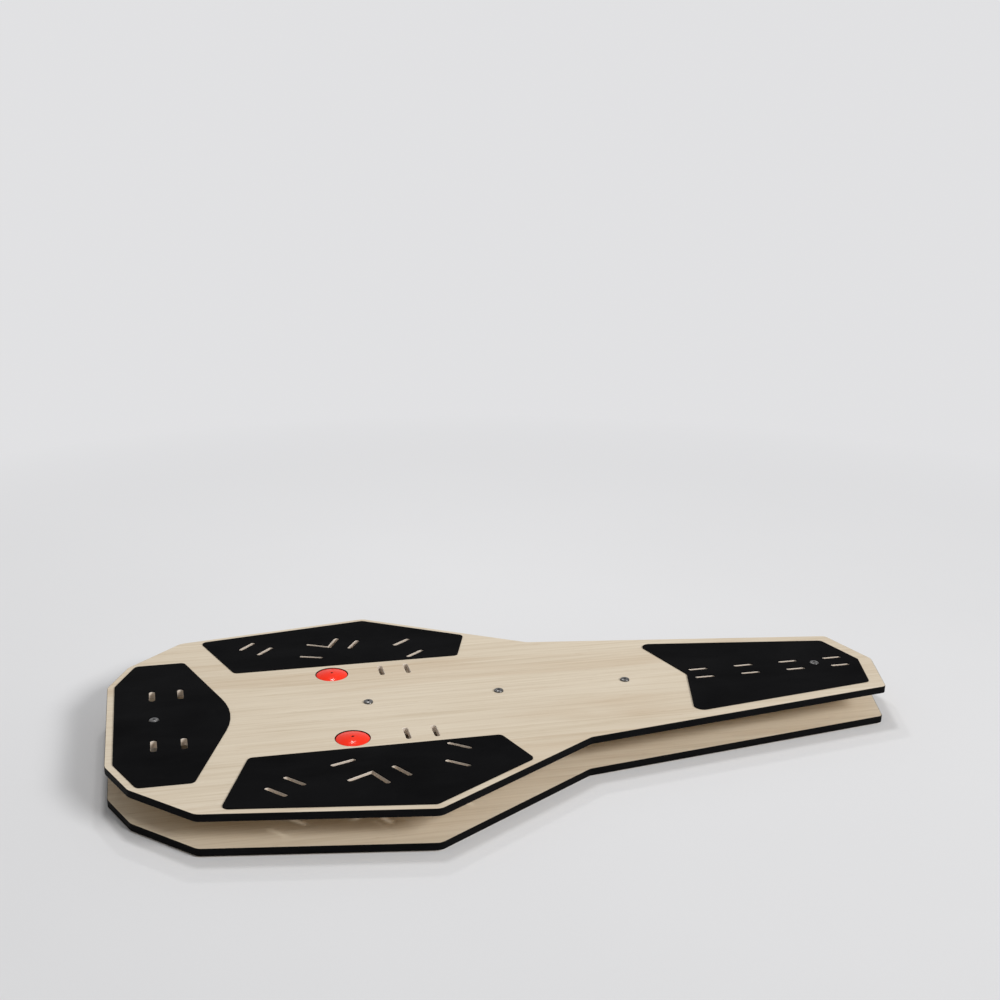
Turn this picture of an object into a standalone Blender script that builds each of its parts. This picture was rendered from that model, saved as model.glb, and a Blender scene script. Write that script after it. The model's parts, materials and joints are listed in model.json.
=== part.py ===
# Rocker plate for an indoor bike trainer: a birch plywood base and a deck of the same outline,
# which rolls from side to side on a shaft along the centreline, with two inflated balls between.
# Metres, +Z up, +X towards the front wheel, +Y to the rider's left. The origin is on the floor,
# under the middle of the plates' length.

from math import atan2, cos, hypot, pi, radians, sin, tan

import bmesh
import bpy
from mathutils import Matrix

# Fits
SEAT_GAP = 0.0003  # left between a piece and what it rests on
HOLE_CLEARANCE = 0.0003  # round a bolt or a nut in its hole
SHAFT_CLEARANCE = 0.0003  # round the shaft in its bushes and blocks

# Plates: both have this outline, measured from the rear edge
PLATE_LENGTH = 1.628
PLATE_THICKNESS = 0.015
PLATE_GAP = 0.053  # from the base's top to the deck's underside
PLATE_CORNER_RADIUS = 0.025
REAR_EDGE_WIDTH = 0.356
CHAMFER_LENGTH = 0.042
CHAMFER_WIDTH = 0.550
SHOULDER_FROM_REAR = 0.157
SHOULDER_WIDTH = 0.776
WIDEST_FROM_REAR = 0.579
WIDEST_WIDTH = 0.906
WAIST_FROM_REAR = 0.918
WAIST_WIDTH = 0.483
NOSE_LENGTH = 0.040  # from the nose's two corners to its tip
NOSE_WIDTH = 0.278
NOSE_CORNER_RADIUS = 0.012

# Anti-slip mats
MAT_THICKNESS = 0.002
MAT_CORNER_RADIUS = 0.012
REAR_BORDER = 0.015  # bare wood outside the rear mat and the foot mats
FRONT_BORDER = 0.030  # bare wood outside the front mat
MAT_RAKE = radians(19.0)  # of the rear mat's nose and the foot mats' ends, from straight across
REAR_MAT_WIDTH = 0.548
REAR_MAT_SHOULDER = 0.1615  # from the rear edge to where the rear mat starts to narrow
REAR_MAT_NOSE_RADIUS = 0.220
BARE_BAND = 0.072  # bare wood between the rear mat and the foot mats
FOOT_MAT_FRONT = 0.750  # from the rear edge to the foot mats' inner front corners
FRONT_MAT_RAKE = radians(16.0)
FRONT_MAT_MARGIN = 0.0135  # mat behind the last front slots, at the notch
FRONT_MAT_CORNER_RADIUS = 0.018

# Balls and the holes that they sit in
BALL_FROM_REAR = 0.467
BALL_SPREAD = 0.306  # between the two balls' middles
BALL_HOLE_DIAMETER = 0.068
BALL_GIRTH = 0.104  # the squashed ball's greatest diameter
BALL_CAP_RISE = 0.0056  # from where a ball leaves a hole's wall to its pole
BALL_PROUD = 0.0045  # of a ball's top over the deck
BALL_FLOOR_GAP = 0.002  # under a ball
BALL_VALVE_DIAMETER = 0.006
BALL_VALVE_DEPTH = 0.0015
HOLE_TO_MAT = 0.011  # bare wood between a ball hole and its foot mat

# Strap slots, through the deck and the mats
FOOT_SLOT_LENGTH = 0.052
FOOT_SLOT_WIDTH = 0.011
OUTER_FOOT_SLOTS = (  # from the rear edge, in from the plate's side, turn outwards in degrees
    (0.302, 0.072, 47.5),
    (0.339, 0.112, 47.5),
    (0.536, 0.143, 59.0),
    (0.643, 0.118, 38.0),
)
INNER_FOOT_SLOTS = (  # from the rear edge, out from the foot mat's inner side, turn outwards
    (0.435, 0.053, -19.0),
    (0.661, 0.028, 38.0),
)
CHEVRON_FROM_REAR = 0.481
CHEVRON_FROM_SIDE = 0.139
CHEVRON_LEG = 0.054
CHEVRON_TURN = radians(18.0)  # of its middle line, from straight out to the side, rearwards
INBOARD_SLOT_LENGTH = 0.048
INBOARD_SLOT_WIDTH = 0.010
INBOARD_SLOTS_FROM_REAR = (0.573, 0.629)
REAR_SLOT_LENGTH = 0.050
REAR_SLOT_WIDTH = 0.012
REAR_SLOT_SPREAD = 0.227  # between the left and right slots' middles
REAR_SLOTS_FROM_REAR = (0.091, 0.1485)
FRONT_SLOT_LENGTH = 0.043
FRONT_SLOT_WIDTH = 0.010
FRONT_SLOT_SPREAD = 0.040
FRONT_SLOT_PITCH = 0.1025
FRONT_SLOT_ROWS = 4
FRONT_SLOT_FROM_TIP = 0.083  # from the nose's tip to the middle of the first row

# Pivot shaft, and the blocks that bolt it under the deck
SHAFT_DIAMETER = 0.025
SHAFT_WALL = 0.003
SHAFT_OVERHANG = 0.017  # past the end blocks
END_BLOCK_FROM_REAR = 0.0935
END_BLOCK_FROM_TIP = 0.1335
INNER_BLOCK_PITCH = 0.2725  # either side of the middle block
BLOCK_LENGTH = 0.030
BLOCK_WALL = 0.0072  # metal beside the shaft
BLOCK_TO_BASE = 0.006  # air under a block
BLOCK_ARRIS = 0.001

# Deck bolts: each runs through the deck and the shaft into a block's floor
DECK_BOLT_DIAMETER = 0.008
DECK_BOLT_SETBACK = 0.0008  # from a bolt's end up to the block's underside
DECK_HEAD_DIAMETER = 0.0190
DECK_HEAD_HEIGHT = 0.0028
DECK_HEAD_RIM = 0.0005  # of the head's straight side, under its dome
DECK_HEAD_CROWN = 0.008  # diameter of the flat round the socket
DECK_SOCKET_FLATS = 0.005
DECK_SOCKET_DEPTH = 0.002
DECK_WASHER_DIAMETER = 0.0196
DECK_WASHER_THICKNESS = 0.001
MAT_BOLT_OPENING = 0.0208  # diameter of a mat's opening round a bolt

# Pivot housings on the base, with their bushes. The inner two stand against blocks, which keeps
# the deck from sliding along.
OUTER_HOUSING_FROM_BLOCK = 0.1005  # from an end block's middle
HOUSING_LENGTH = 0.034
HOUSING_FLANGE = 0.012
HOUSING_HEADROOM = 0.003  # under the deck
HOUSING_FILLET = 0.003
HOUSING_ARRIS = 0.001
HOUSING_BOLT_PITCH = 0.090
HOUSING_BOLT_EDGE = 0.015  # from a bolt's middle to the flange's end
BUSH_WALL = 0.003
BUSH_RIM = 0.003  # how far the bush's flange stands out past its wall
BUSH_RIM_THICKNESS = 0.002
END_FLOAT = 0.0005  # between a block and the bush's flange beside it

# The housings' bolts, and the tee nuts sunk into the base's underside
HOUSING_BOLT_DIAMETER = 0.008
HOUSING_HEAD_DIAMETER = 0.017  # of the flange under the hexagon
HOUSING_HEAD_FLATS = 0.013
HOUSING_HEAD_HEIGHT = 0.0075
HOUSING_HEAD_RIM = 0.0015
TEE_NUT_WALL = 0.0012
TEE_NUT_FLANGE_DIAMETER = 0.020
TEE_NUT_FLANGE_THICKNESS = 0.0015
TEE_NUT_SETBACK = 0.003  # from the barrel's end to the base's top

# Rubber pads under the base
PAD_DIAMETER = 0.040
PAD_HEIGHT = 0.003
PAD_INSET = 0.040  # from the plate's sides to a pad's middle
PAD_ARRIS = 0.0008

# How finely round shapes are divided
FINE_STEPS = 40
ROUND_STEPS = 24
MEDIUM_STEPS = 16
SMALL_STEPS = 12
CORNER_STEPS = 3
SLOT_END_STEPS = 4
NOSE_ARC_STEPS = 8
HOUSING_ARCH_STEPS = 6
BALL_BULGE_STEPS = 4
BALL_CAP_STEPS = 4
HEAD_DOME_STEPS = 3
SAME_POINT = 0.00001  # points closer than this are one

# Heights and places that follow
BASE_BOTTOM = PAD_HEIGHT
BASE_TOP = BASE_BOTTOM + PLATE_THICKNESS
DECK_BOTTOM = BASE_TOP + PLATE_GAP
DECK_TOP = DECK_BOTTOM + PLATE_THICKNESS
AXIS_HEIGHT = BASE_TOP + PLATE_GAP / 2
REAR_X = -PLATE_LENGTH / 2
TIP_X = PLATE_LENGTH / 2
BALL_X = REAR_X + BALL_FROM_REAR
FOOT_MAT_INNER_Y = BALL_SPREAD / 2 + BALL_HOLE_DIAMETER / 2 + HOLE_TO_MAT
END_BLOCK = (PLATE_LENGTH - END_BLOCK_FROM_REAR - END_BLOCK_FROM_TIP) / 2  # from the pivot's middle
PIVOT_X = REAR_X + END_BLOCK_FROM_REAR + END_BLOCK
BLOCK_XS = [PIVOT_X + d for d in (-END_BLOCK, -INNER_BLOCK_PITCH, 0.0, INNER_BLOCK_PITCH, END_BLOCK)]
INNER_HOUSING = (
    INNER_BLOCK_PITCH - BLOCK_LENGTH / 2 - END_FLOAT - BUSH_RIM_THICKNESS - SEAT_GAP - HOUSING_LENGTH / 2)
OUTER_HOUSING = END_BLOCK - OUTER_HOUSING_FROM_BLOCK
HOUSING_OFFSETS = (-OUTER_HOUSING, -INNER_HOUSING, INNER_HOUSING, OUTER_HOUSING)
BORE_RADIUS = SHAFT_DIAMETER / 2 + SHAFT_CLEARANCE
BLOCK_DROP = PLATE_GAP / 2 - BLOCK_TO_BASE  # from the axis to a block's underside
BUSH_RADIUS = BORE_RADIUS + BUSH_WALL
HOUSING_HALF_SPAN = HOUSING_BOLT_PITCH / 2 + HOUSING_BOLT_EDGE
DECK_WASHER_SEAT = DECK_TOP + SEAT_GAP

# Plate outline on the rider's left, from the rear edge to the nose's tip
LEFT_OUTLINE = (
    (REAR_X, REAR_EDGE_WIDTH / 2),
    (REAR_X + CHAMFER_LENGTH, CHAMFER_WIDTH / 2),
    (REAR_X + SHOULDER_FROM_REAR, SHOULDER_WIDTH / 2),
    (REAR_X + WIDEST_FROM_REAR, WIDEST_WIDTH / 2),
    (REAR_X + WAIST_FROM_REAR, WAIST_WIDTH / 2),
    (TIP_X - NOSE_LENGTH, NOSE_WIDTH / 2),
    (TIP_X, 0.0),
)


# Plan geometry


def inset_edge(index, distance):
    """A point and a direction of the left outline's edge, moved inwards."""
    (ax, ay), (bx, by) = LEFT_OUTLINE[index], LEFT_OUTLINE[index + 1]
    length = hypot(bx - ax, by - ay)
    dx, dy = (bx - ax) / length, (by - ay) / length
    return (ax + dy * distance, ay - dx * distance), (dx, dy)


def crossing(first, second):
    """Where two lines cross, each a point and a direction."""
    (px, py), (ux, uy) = first
    (qx, qy), (vx, vy) = second
    t = ((qx - px) * vy - (qy - py) * vx) / (ux * vy - uy * vx)
    return (px + t * ux, py + t * uy)


def side_y(x):
    """The plates' half width at x."""
    for (ax, ay), (bx, by) in zip(LEFT_OUTLINE, LEFT_OUTLINE[1:]):
        if ax <= x <= bx and bx > ax:
            return ay + (by - ay) * (x - ax) / (bx - ax)
    return 0.0


def rounded(corners):
    """A loop of (x, y, radius, steps) corners with each corner turned into an arc."""
    ring = []
    for k, (x, y, radius, steps) in enumerate(corners):
        ax, ay = corners[k - 1][:2]
        bx, by = corners[(k + 1) % len(corners)][:2]
        before = atan2(y - ay, x - ax)
        after = atan2(by - y, bx - x)
        turn = (after - before + pi) % (2 * pi) - pi
        reach = radius * tan(abs(turn) / 2)
        side = 1.0 if turn > 0 else -1.0
        middle_x = x - reach * cos(before) - side * radius * sin(before)
        middle_y = y - reach * sin(before) + side * radius * cos(before)
        for step in range(steps + 1):
            angle = before + turn * step / steps - side * pi / 2
            point = (middle_x + radius * cos(angle), middle_y + radius * sin(angle))
            if not ring or hypot(point[0] - ring[-1][0], point[1] - ring[-1][1]) > SAME_POINT:
                ring.append(point)
    return ring


def corners_of(points, radius):
    """The points as corners of one radius."""
    return [(x, y, radius, CORNER_STEPS) for x, y in points]


def slot_ring(path, width):
    """The outline of a slot that a cutter of this width leaves along a straight or bent path."""
    def side(points):
        out = []
        for k, (x, y) in enumerate(points):
            ax, ay = points[max(k - 1, 0)]
            bx, by = points[min(k + 1, len(points) - 1)]
            first = atan2(y - ay, x - ax) if k else atan2(by - y, bx - x)
            second = atan2(by - y, bx - x) if k < len(points) - 1 else first
            half_turn = ((second - first + pi) % (2 * pi) - pi) / 2
            normal = first + half_turn - pi / 2
            reach = width / 2 / cos(half_turn)
            out.append((x + reach * cos(normal), y + reach * sin(normal)))
        (px, py), (ex, ey) = points[-2], points[-1]
        start = atan2(ey - py, ex - px) - pi / 2
        for step in range(1, SLOT_END_STEPS):
            angle = start + pi * step / SLOT_END_STEPS
            out.append((ex + width / 2 * cos(angle), ey + width / 2 * sin(angle)))
        return out

    return side(path) + side(path[::-1])


def straight_slot(x, y, turn, length, width):
    """A straight slot round (x, y), turned anticlockwise from along X, length measured over its ends."""
    reach = (length - width) / 2
    dx, dy = reach * cos(turn), reach * sin(turn)
    return slot_ring([(x - dx, y - dy), (x + dx, y + dy)], width)


def chevron_slot(x, y, side):
    """A right-angled slot with its corner at (x, y) and its legs opening to the side."""
    middle = pi / 2 + CHEVRON_TURN
    reach = CHEVRON_LEG - FOOT_SLOT_WIDTH / 2
    ends = []
    for leg in (-pi / 4, pi / 4):
        ends.append((x + reach * cos(middle + leg), y + side * reach * sin(middle + leg)))
    return slot_ring([ends[0], (x, y), ends[1]], FOOT_SLOT_WIDTH)


def circle(x, y, radius, steps):
    """A round hole's outline."""
    angles = [2 * pi * k / steps for k in range(steps)]
    return [(x + radius * cos(angle), y + radius * sin(angle)) for angle in angles]


# Solids


def prism(rings, height):
    """A flat solid: the first ring is its outline and the others are holes."""
    bm = bmesh.new()
    edges = []
    for ring in rings:
        verts = [bm.verts.new((x, y, 0.0)) for x, y in ring]
        edges += [bm.edges.new(pair) for pair in zip(verts, verts[1:] + verts[:1])]
    bmesh.ops.triangle_fill(bm, edges=edges, use_beauty=True)
    raised = bmesh.ops.extrude_face_region(bm, geom=bm.faces[:])["geom"]
    tops = [item for item in raised if isinstance(item, bmesh.types.BMVert)]
    bmesh.ops.translate(bm, verts=tops, vec=(0.0, 0.0, height))
    return to_mesh(bm)


def turned(profile, steps, ring=False):
    """A turned solid round Z from (radius, height) rows. A row's third value is 6 where it is a
    hexagon, whose radius is then half the distance across its flats. A ring's last row joins its first."""
    bm = bmesh.new()
    rows = []
    for radius, height, *sides in profile:
        row = []
        for k in range(steps):
            angle = 2 * pi * k / steps
            reach = radius / cos(angle % (pi / 3) - pi / 6) if sides else radius
            row.append(bm.verts.new((reach * cos(angle), reach * sin(angle), height)))
        rows.append(row)
    pairs = list(zip(rows, rows[1:] + rows[:1])) if ring else list(zip(rows, rows[1:]))
    for low, high in pairs:
        for k in range(steps):
            j = (k + 1) % steps
            bm.faces.new((low[k], low[j], high[j], high[k]))
    if not ring:
        bm.faces.new(rows[0])
        bm.faces.new(rows[-1])
    return to_mesh(bm)


def to_mesh(bm):
    """The bmesh as a mesh with its faces pointing out, smooth where it is round."""
    bmesh.ops.recalc_face_normals(bm, faces=bm.faces)
    mesh = bpy.data.meshes.new("shape")
    bm.to_mesh(mesh)
    bm.free()
    mesh.shade_smooth()
    mesh.set_sharp_from_angle(angle=radians(35.0))
    return mesh


def along_x(mesh):
    """The mesh with its Z axis laid along +X."""
    mesh.transform(Matrix.Rotation(pi / 2, 4, "Y"))
    return mesh


def gathered(mesh, places):
    """Copies of the mesh at each place, as separate solids of one mesh."""
    bm = bmesh.new()
    for place in places:
        start = len(bm.verts)
        bm.from_mesh(mesh)
        bm.verts.ensure_lookup_table()
        bmesh.ops.translate(bm, verts=bm.verts[start:], vec=place)
    return to_mesh(bm)


def carved(mesh, cutters):
    """The mesh with each cutter's shape taken out of it."""
    body = bpy.data.objects.new("carved_body", mesh)
    bpy.context.scene.collection.objects.link(body)
    tools = []
    for cutter in cutters:
        tool = bpy.data.objects.new("carving_tool", cutter)
        bpy.context.scene.collection.objects.link(tool)
        tool.hide_render = True
        tool.display_type = "WIRE"
        cut = body.modifiers.new("cut", "BOOLEAN")
        cut.operation = "DIFFERENCE"
        cut.solver = "EXACT"
        cut.object = tool
        tools.append(tool)
    evaluated = body.evaluated_get(bpy.context.evaluated_depsgraph_get())
    bm = bmesh.new()
    bm.from_mesh(evaluated.to_mesh())
    evaluated.to_mesh_clear()
    for obj in [body] + tools:
        bpy.data.objects.remove(obj)
    return to_mesh(bm)


# Scene


def clear_scene():
    """Empties the scene."""
    for obj in list(bpy.data.objects):
        bpy.data.objects.remove(obj)


def material(name, color, roughness, metallic=0.0):
    """A Principled material."""
    made = bpy.data.materials.new(name)
    made.use_nodes = True
    shader = made.node_tree.nodes["Principled BSDF"]
    shader.inputs["Base Color"].default_value = (*color, 1.0)
    shader.inputs["Roughness"].default_value = roughness
    shader.inputs["Metallic"].default_value = metallic
    made.diffuse_color = (*color, 1.0)
    return made


def add_axis(name, location):
    """An empty that marks an axis or a fixed frame."""
    empty = bpy.data.objects.new(name, None)
    bpy.context.scene.collection.objects.link(empty)
    empty.location = location
    return empty


def add_piece(name, mesh, finish, frame, location=(0.0, 0.0, 0.0)):
    """An object at a world location, parented to the frame that carries it."""
    piece = bpy.data.objects.new(name, mesh)
    bpy.context.scene.collection.objects.link(piece)
    if not mesh.materials:
        mesh.materials.append(finish)
    piece.parent = frame
    piece.location = [place - origin for place, origin in zip(location, frame.location)]
    return piece


# Strap slots by place


def outer_foot_slots(side):
    """The foot slots that are measured from the plate's side, and the chevron among them."""
    rings = []
    for from_rear, from_side, degrees in OUTER_FOOT_SLOTS:
        x = REAR_X + from_rear
        y = side_y(x) - from_side
        rings.append(straight_slot(x, side * y, side * radians(degrees), FOOT_SLOT_LENGTH, FOOT_SLOT_WIDTH))
    x = REAR_X + CHEVRON_FROM_REAR
    rings.append(chevron_slot(x, side * (side_y(x) - CHEVRON_FROM_SIDE), side))
    return rings


def inner_foot_slots(side):
    """The foot slots that are measured from the foot mat's inner side."""
    rings = []
    for from_rear, from_inner, degrees in INNER_FOOT_SLOTS:
        y = FOOT_MAT_INNER_Y + from_inner
        turn = side * radians(degrees)
        rings.append(straight_slot(REAR_X + from_rear, side * y, turn, FOOT_SLOT_LENGTH, FOOT_SLOT_WIDTH))
    return rings


def foot_slots(side):
    """Every slot through one foot mat."""
    return outer_foot_slots(side) + inner_foot_slots(side)


def inboard_slots():
    """The slots in bare wood beside the foot mats, in line with the balls."""
    rings = []
    for from_rear in INBOARD_SLOTS_FROM_REAR:
        x = REAR_X + from_rear
        for y in (-BALL_SPREAD / 2, BALL_SPREAD / 2):
            rings.append(straight_slot(x, y, pi / 2, INBOARD_SLOT_LENGTH, INBOARD_SLOT_WIDTH))
    return rings


def rear_slots():
    """The slots through the rear mat."""
    rings = []
    for from_rear in REAR_SLOTS_FROM_REAR:
        x = REAR_X + from_rear
        for y in (-REAR_SLOT_SPREAD / 2, REAR_SLOT_SPREAD / 2):
            rings.append(straight_slot(x, y, pi / 2, REAR_SLOT_LENGTH, REAR_SLOT_WIDTH))
    return rings


def front_slots():
    """The slots through the front mat, in pairs either side of the centreline."""
    rings = []
    for row in range(FRONT_SLOT_ROWS):
        x = TIP_X - FRONT_SLOT_FROM_TIP - row * FRONT_SLOT_PITCH
        for y in (-FRONT_SLOT_SPREAD / 2, FRONT_SLOT_SPREAD / 2):
            rings.append(straight_slot(x, y, 0.0, FRONT_SLOT_LENGTH, FRONT_SLOT_WIDTH))
    return rings


# Outlines


def plate_ring():
    """The outline of both plates."""
    nose = len(LEFT_OUTLINE) - 2
    left = []
    for k, (x, y) in enumerate(LEFT_OUTLINE):
        left.append((x, y, NOSE_CORNER_RADIUS if k == nose else PLATE_CORNER_RADIUS, CORNER_STEPS))
    right = [(x, -y, radius, steps) for x, y, radius, steps in reversed(left) if y]
    return rounded(left + right)


def rear_mat_ring():
    """The rear mat: the plate's rear, then a blunt nose that points forwards."""
    rear = crossing(inset_edge(0, REAR_BORDER), ((REAR_X + REAR_BORDER, 0.0), (0.0, 1.0)))
    side_line = ((0.0, REAR_MAT_WIDTH / 2), (1.0, 0.0))
    side_rear = crossing(inset_edge(0, REAR_BORDER), side_line)
    side_front = (REAR_X + REAR_MAT_SHOULDER, REAR_MAT_WIDTH / 2)
    nose = rear_mat_nose_x()
    left = corners_of((rear, side_rear, side_front), MAT_CORNER_RADIUS)
    right = [(x, -y, radius, steps) for x, y, radius, steps in reversed(left)]
    return rounded(left + [(nose, 0.0, REAR_MAT_NOSE_RADIUS, NOSE_ARC_STEPS)] + right)


def rear_mat_nose_x():
    """Where the rear mat's raked sides would meet on the centreline."""
    return REAR_X + REAR_MAT_SHOULDER + REAR_MAT_WIDTH / 2 * tan(MAT_RAKE)


def foot_mat_ring(side):
    """A foot mat: raked ends, and an outer side that follows the plate's."""
    inner = ((0.0, FOOT_MAT_INNER_Y), (1.0, 0.0))
    rear_x = rear_mat_nose_x() + BARE_BAND / cos(MAT_RAKE)
    rear = ((rear_x, 0.0), (-sin(MAT_RAKE), cos(MAT_RAKE)))
    front = ((REAR_X + FOOT_MAT_FRONT, FOOT_MAT_INNER_Y), (sin(MAT_RAKE), cos(MAT_RAKE)))
    outer_rear = inset_edge(2, REAR_BORDER)
    outer_front = inset_edge(3, REAR_BORDER)
    points = [
        crossing(inner, rear),
        crossing(rear, outer_rear),
        crossing(outer_rear, outer_front),
        crossing(outer_front, front),
        crossing(front, inner),
    ]
    return rounded(corners_of([(x, side * y) for x, y in points], MAT_CORNER_RADIUS))


def front_mat_ring():
    """The front mat: the plate's nose with a shallow notch at its rear."""
    last_row = TIP_X - FRONT_SLOT_FROM_TIP - (FRONT_SLOT_ROWS - 1) * FRONT_SLOT_PITCH
    notch_x = last_row - FRONT_SLOT_LENGTH / 2 - FRONT_MAT_MARGIN
    rear = ((notch_x, 0.0), (-sin(FRONT_MAT_RAKE), cos(FRONT_MAT_RAKE)))
    outer = inset_edge(4, FRONT_BORDER)
    nose = inset_edge(5, FRONT_BORDER)
    left = [
        (*crossing(rear, outer), FRONT_MAT_CORNER_RADIUS, CORNER_STEPS),
        (*crossing(outer, nose), MAT_CORNER_RADIUS, CORNER_STEPS),
    ]
    tip = (*crossing(nose, ((0.0, 0.0), (1.0, 0.0))), MAT_CORNER_RADIUS, CORNER_STEPS)
    right = [(x, -y, radius, steps) for x, y, radius, steps in reversed(left)]
    return rounded([(notch_x, 0.0, MAT_CORNER_RADIUS, CORNER_STEPS)] + left + [tip] + right)


# Pieces


def add_plates(base, deck, wood):
    """The base and the deck, with every hole that goes through them."""
    ball_ys = (-BALL_SPREAD / 2, BALL_SPREAD / 2)
    ball_holes = [circle(BALL_X, y, BALL_HOLE_DIAMETER / 2, FINE_STEPS) for y in ball_ys]
    barrel_hole = HOUSING_BOLT_DIAMETER / 2 + HOLE_CLEARANCE + TEE_NUT_WALL + HOLE_CLEARANCE
    flange_hole = TEE_NUT_FLANGE_DIAMETER / 2 + HOLE_CLEARANCE
    flange_depth = TEE_NUT_FLANGE_THICKNESS + SEAT_GAP
    nut_hole = turned(
        [(flange_hole, -PLATE_THICKNESS), (flange_hole, flange_depth), (barrel_hole, flange_depth),
         (barrel_hole, 2 * PLATE_THICKNESS)], SMALL_STEPS)
    nut_holes = gathered(nut_hole, [(x, y, 0.0) for x, y in housing_bolt_places()])
    base_mesh = carved(prism([plate_ring()] + ball_holes, PLATE_THICKNESS), [nut_holes])
    add_piece("base_plate", base_mesh, wood, base, (0.0, 0.0, BASE_BOTTOM))

    slots = foot_slots(-1) + foot_slots(1) + inboard_slots() + rear_slots() + front_slots()
    bolt_hole = DECK_BOLT_DIAMETER / 2 + HOLE_CLEARANCE
    bolt_holes = [circle(x, 0.0, bolt_hole, SMALL_STEPS) for x in BLOCK_XS]
    deck_mesh = prism([plate_ring()] + ball_holes + slots + bolt_holes, PLATE_THICKNESS)
    add_piece("deck_plate", deck_mesh, wood, deck, (0.0, 0.0, DECK_BOTTOM))


def add_mats(deck, rubber):
    """The four mats on the deck, open over the slots and the bolts."""
    rear_bolt = circle(BLOCK_XS[0], 0.0, MAT_BOLT_OPENING / 2, MEDIUM_STEPS)
    front_bolt = circle(BLOCK_XS[-1], 0.0, MAT_BOLT_OPENING / 2, MEDIUM_STEPS)
    rings = {
        "rear_mat": [rear_mat_ring(), rear_bolt] + rear_slots(),
        "foot_mat_left": [foot_mat_ring(1)] + foot_slots(1),
        "foot_mat_right": [foot_mat_ring(-1)] + foot_slots(-1),
        "front_mat": [front_mat_ring(), front_bolt] + front_slots(),
    }
    for name, loops in rings.items():
        add_piece(name, prism(loops, MAT_THICKNESS), rubber, deck, (0.0, 0.0, DECK_TOP + SEAT_GAP))


def ball_profile(reach):
    """Half the squashed ball's outline, from its waist to its pole, which is this far off. It bulges
    between the plates, runs straight along its hole's wall and ends in a round cap."""
    waist = BALL_GIRTH / 2
    rim = BALL_HOLE_DIAMETER / 2 - SEAT_GAP
    rim_height = PLATE_GAP / 2 - SEAT_GAP
    arc_middle = (waist**2 - rim**2 - rim_height**2) / (2 * (waist - rim))
    arc = waist - arc_middle
    sweep = atan2(rim_height, rim - arc_middle)
    rows = []
    for step in range(BALL_BULGE_STEPS + 1):
        angle = sweep * step / BALL_BULGE_STEPS
        rows.append((arc_middle + arc * cos(angle), arc * sin(angle)))
    cap = (rim**2 + BALL_CAP_RISE**2) / (2 * BALL_CAP_RISE)
    pole = BALL_VALVE_DIAMETER / 2
    for step in range(BALL_CAP_STEPS + 1):
        radius = rim + (pole - rim) * step / BALL_CAP_STEPS
        rows.append((radius, reach - cap + (cap**2 - radius**2) ** 0.5))
    return rows


def add_balls(base, rubber):
    """The two inflated balls, held in the plates' holes, each with its valve on top."""
    top = ball_profile(DECK_TOP + BALL_PROUD - AXIS_HEIGHT)
    valve, height = top[-1]
    top.append((valve, height - BALL_VALVE_DEPTH))
    low = ball_profile(AXIS_HEIGHT - BALL_FLOOR_GAP)
    mesh = turned([(radius, -height) for radius, height in reversed(low[1:])] + top, ROUND_STEPS)
    for name, side in (("ball_left", 1), ("ball_right", -1)):
        add_piece(name, mesh, rubber, base, (BALL_X, side * BALL_SPREAD / 2, AXIS_HEIGHT))


def deck_bolt_hole():
    """The hole that a deck bolt takes through a block or the shaft, upright through the axis."""
    radius = DECK_BOLT_DIAMETER / 2 + HOLE_CLEARANCE
    return turned([(radius, -PLATE_GAP), (radius, PLATE_GAP)], SMALL_STEPS)


def add_shaft(deck, steel):
    """The tube that the deck rolls on, along the centreline, drilled for the deck's bolts."""
    outer = SHAFT_DIAMETER / 2
    inner = outer - SHAFT_WALL
    half = END_BLOCK + BLOCK_LENGTH / 2 + SHAFT_OVERHANG
    tube = turned([(outer, -half), (outer, half), (inner, half), (inner, -half)], ROUND_STEPS, ring=True)
    holes = gathered(deck_bolt_hole(), [(x - PIVOT_X, 0.0, 0.0) for x in BLOCK_XS])
    add_piece("pivot_shaft", carved(along_x(tube), [holes]), steel, deck, (PIVOT_X, 0.0, AXIS_HEIGHT))


def upright_block(section, bore_radius, length):
    """A block along X with a bore round the axis. The section is drawn as (-height, y), because
    laying the prism's Z along X turns its X downwards."""
    bore = circle(0.0, 0.0, bore_radius, ROUND_STEPS)
    block = prism([rounded(section), bore], length)
    block.transform(Matrix.Translation((0.0, 0.0, -length / 2)))
    return along_x(block)


def add_blocks(deck, aluminium):
    """The blocks that hold the shaft under the deck."""
    top = PLATE_GAP / 2 - SEAT_GAP
    half = BORE_RADIUS + BLOCK_WALL
    corners = [(BLOCK_DROP, -half), (BLOCK_DROP, half), (-top, half), (-top, -half)]
    section = [(x, y, BLOCK_ARRIS, 1) for x, y in corners]
    mesh = carved(upright_block(section, BORE_RADIUS, BLOCK_LENGTH), [deck_bolt_hole()])
    for k, x in enumerate(BLOCK_XS):
        add_piece("shaft_block_%d" % (k + 1), mesh, aluminium, deck, (x, 0.0, AXIS_HEIGHT))


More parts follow.
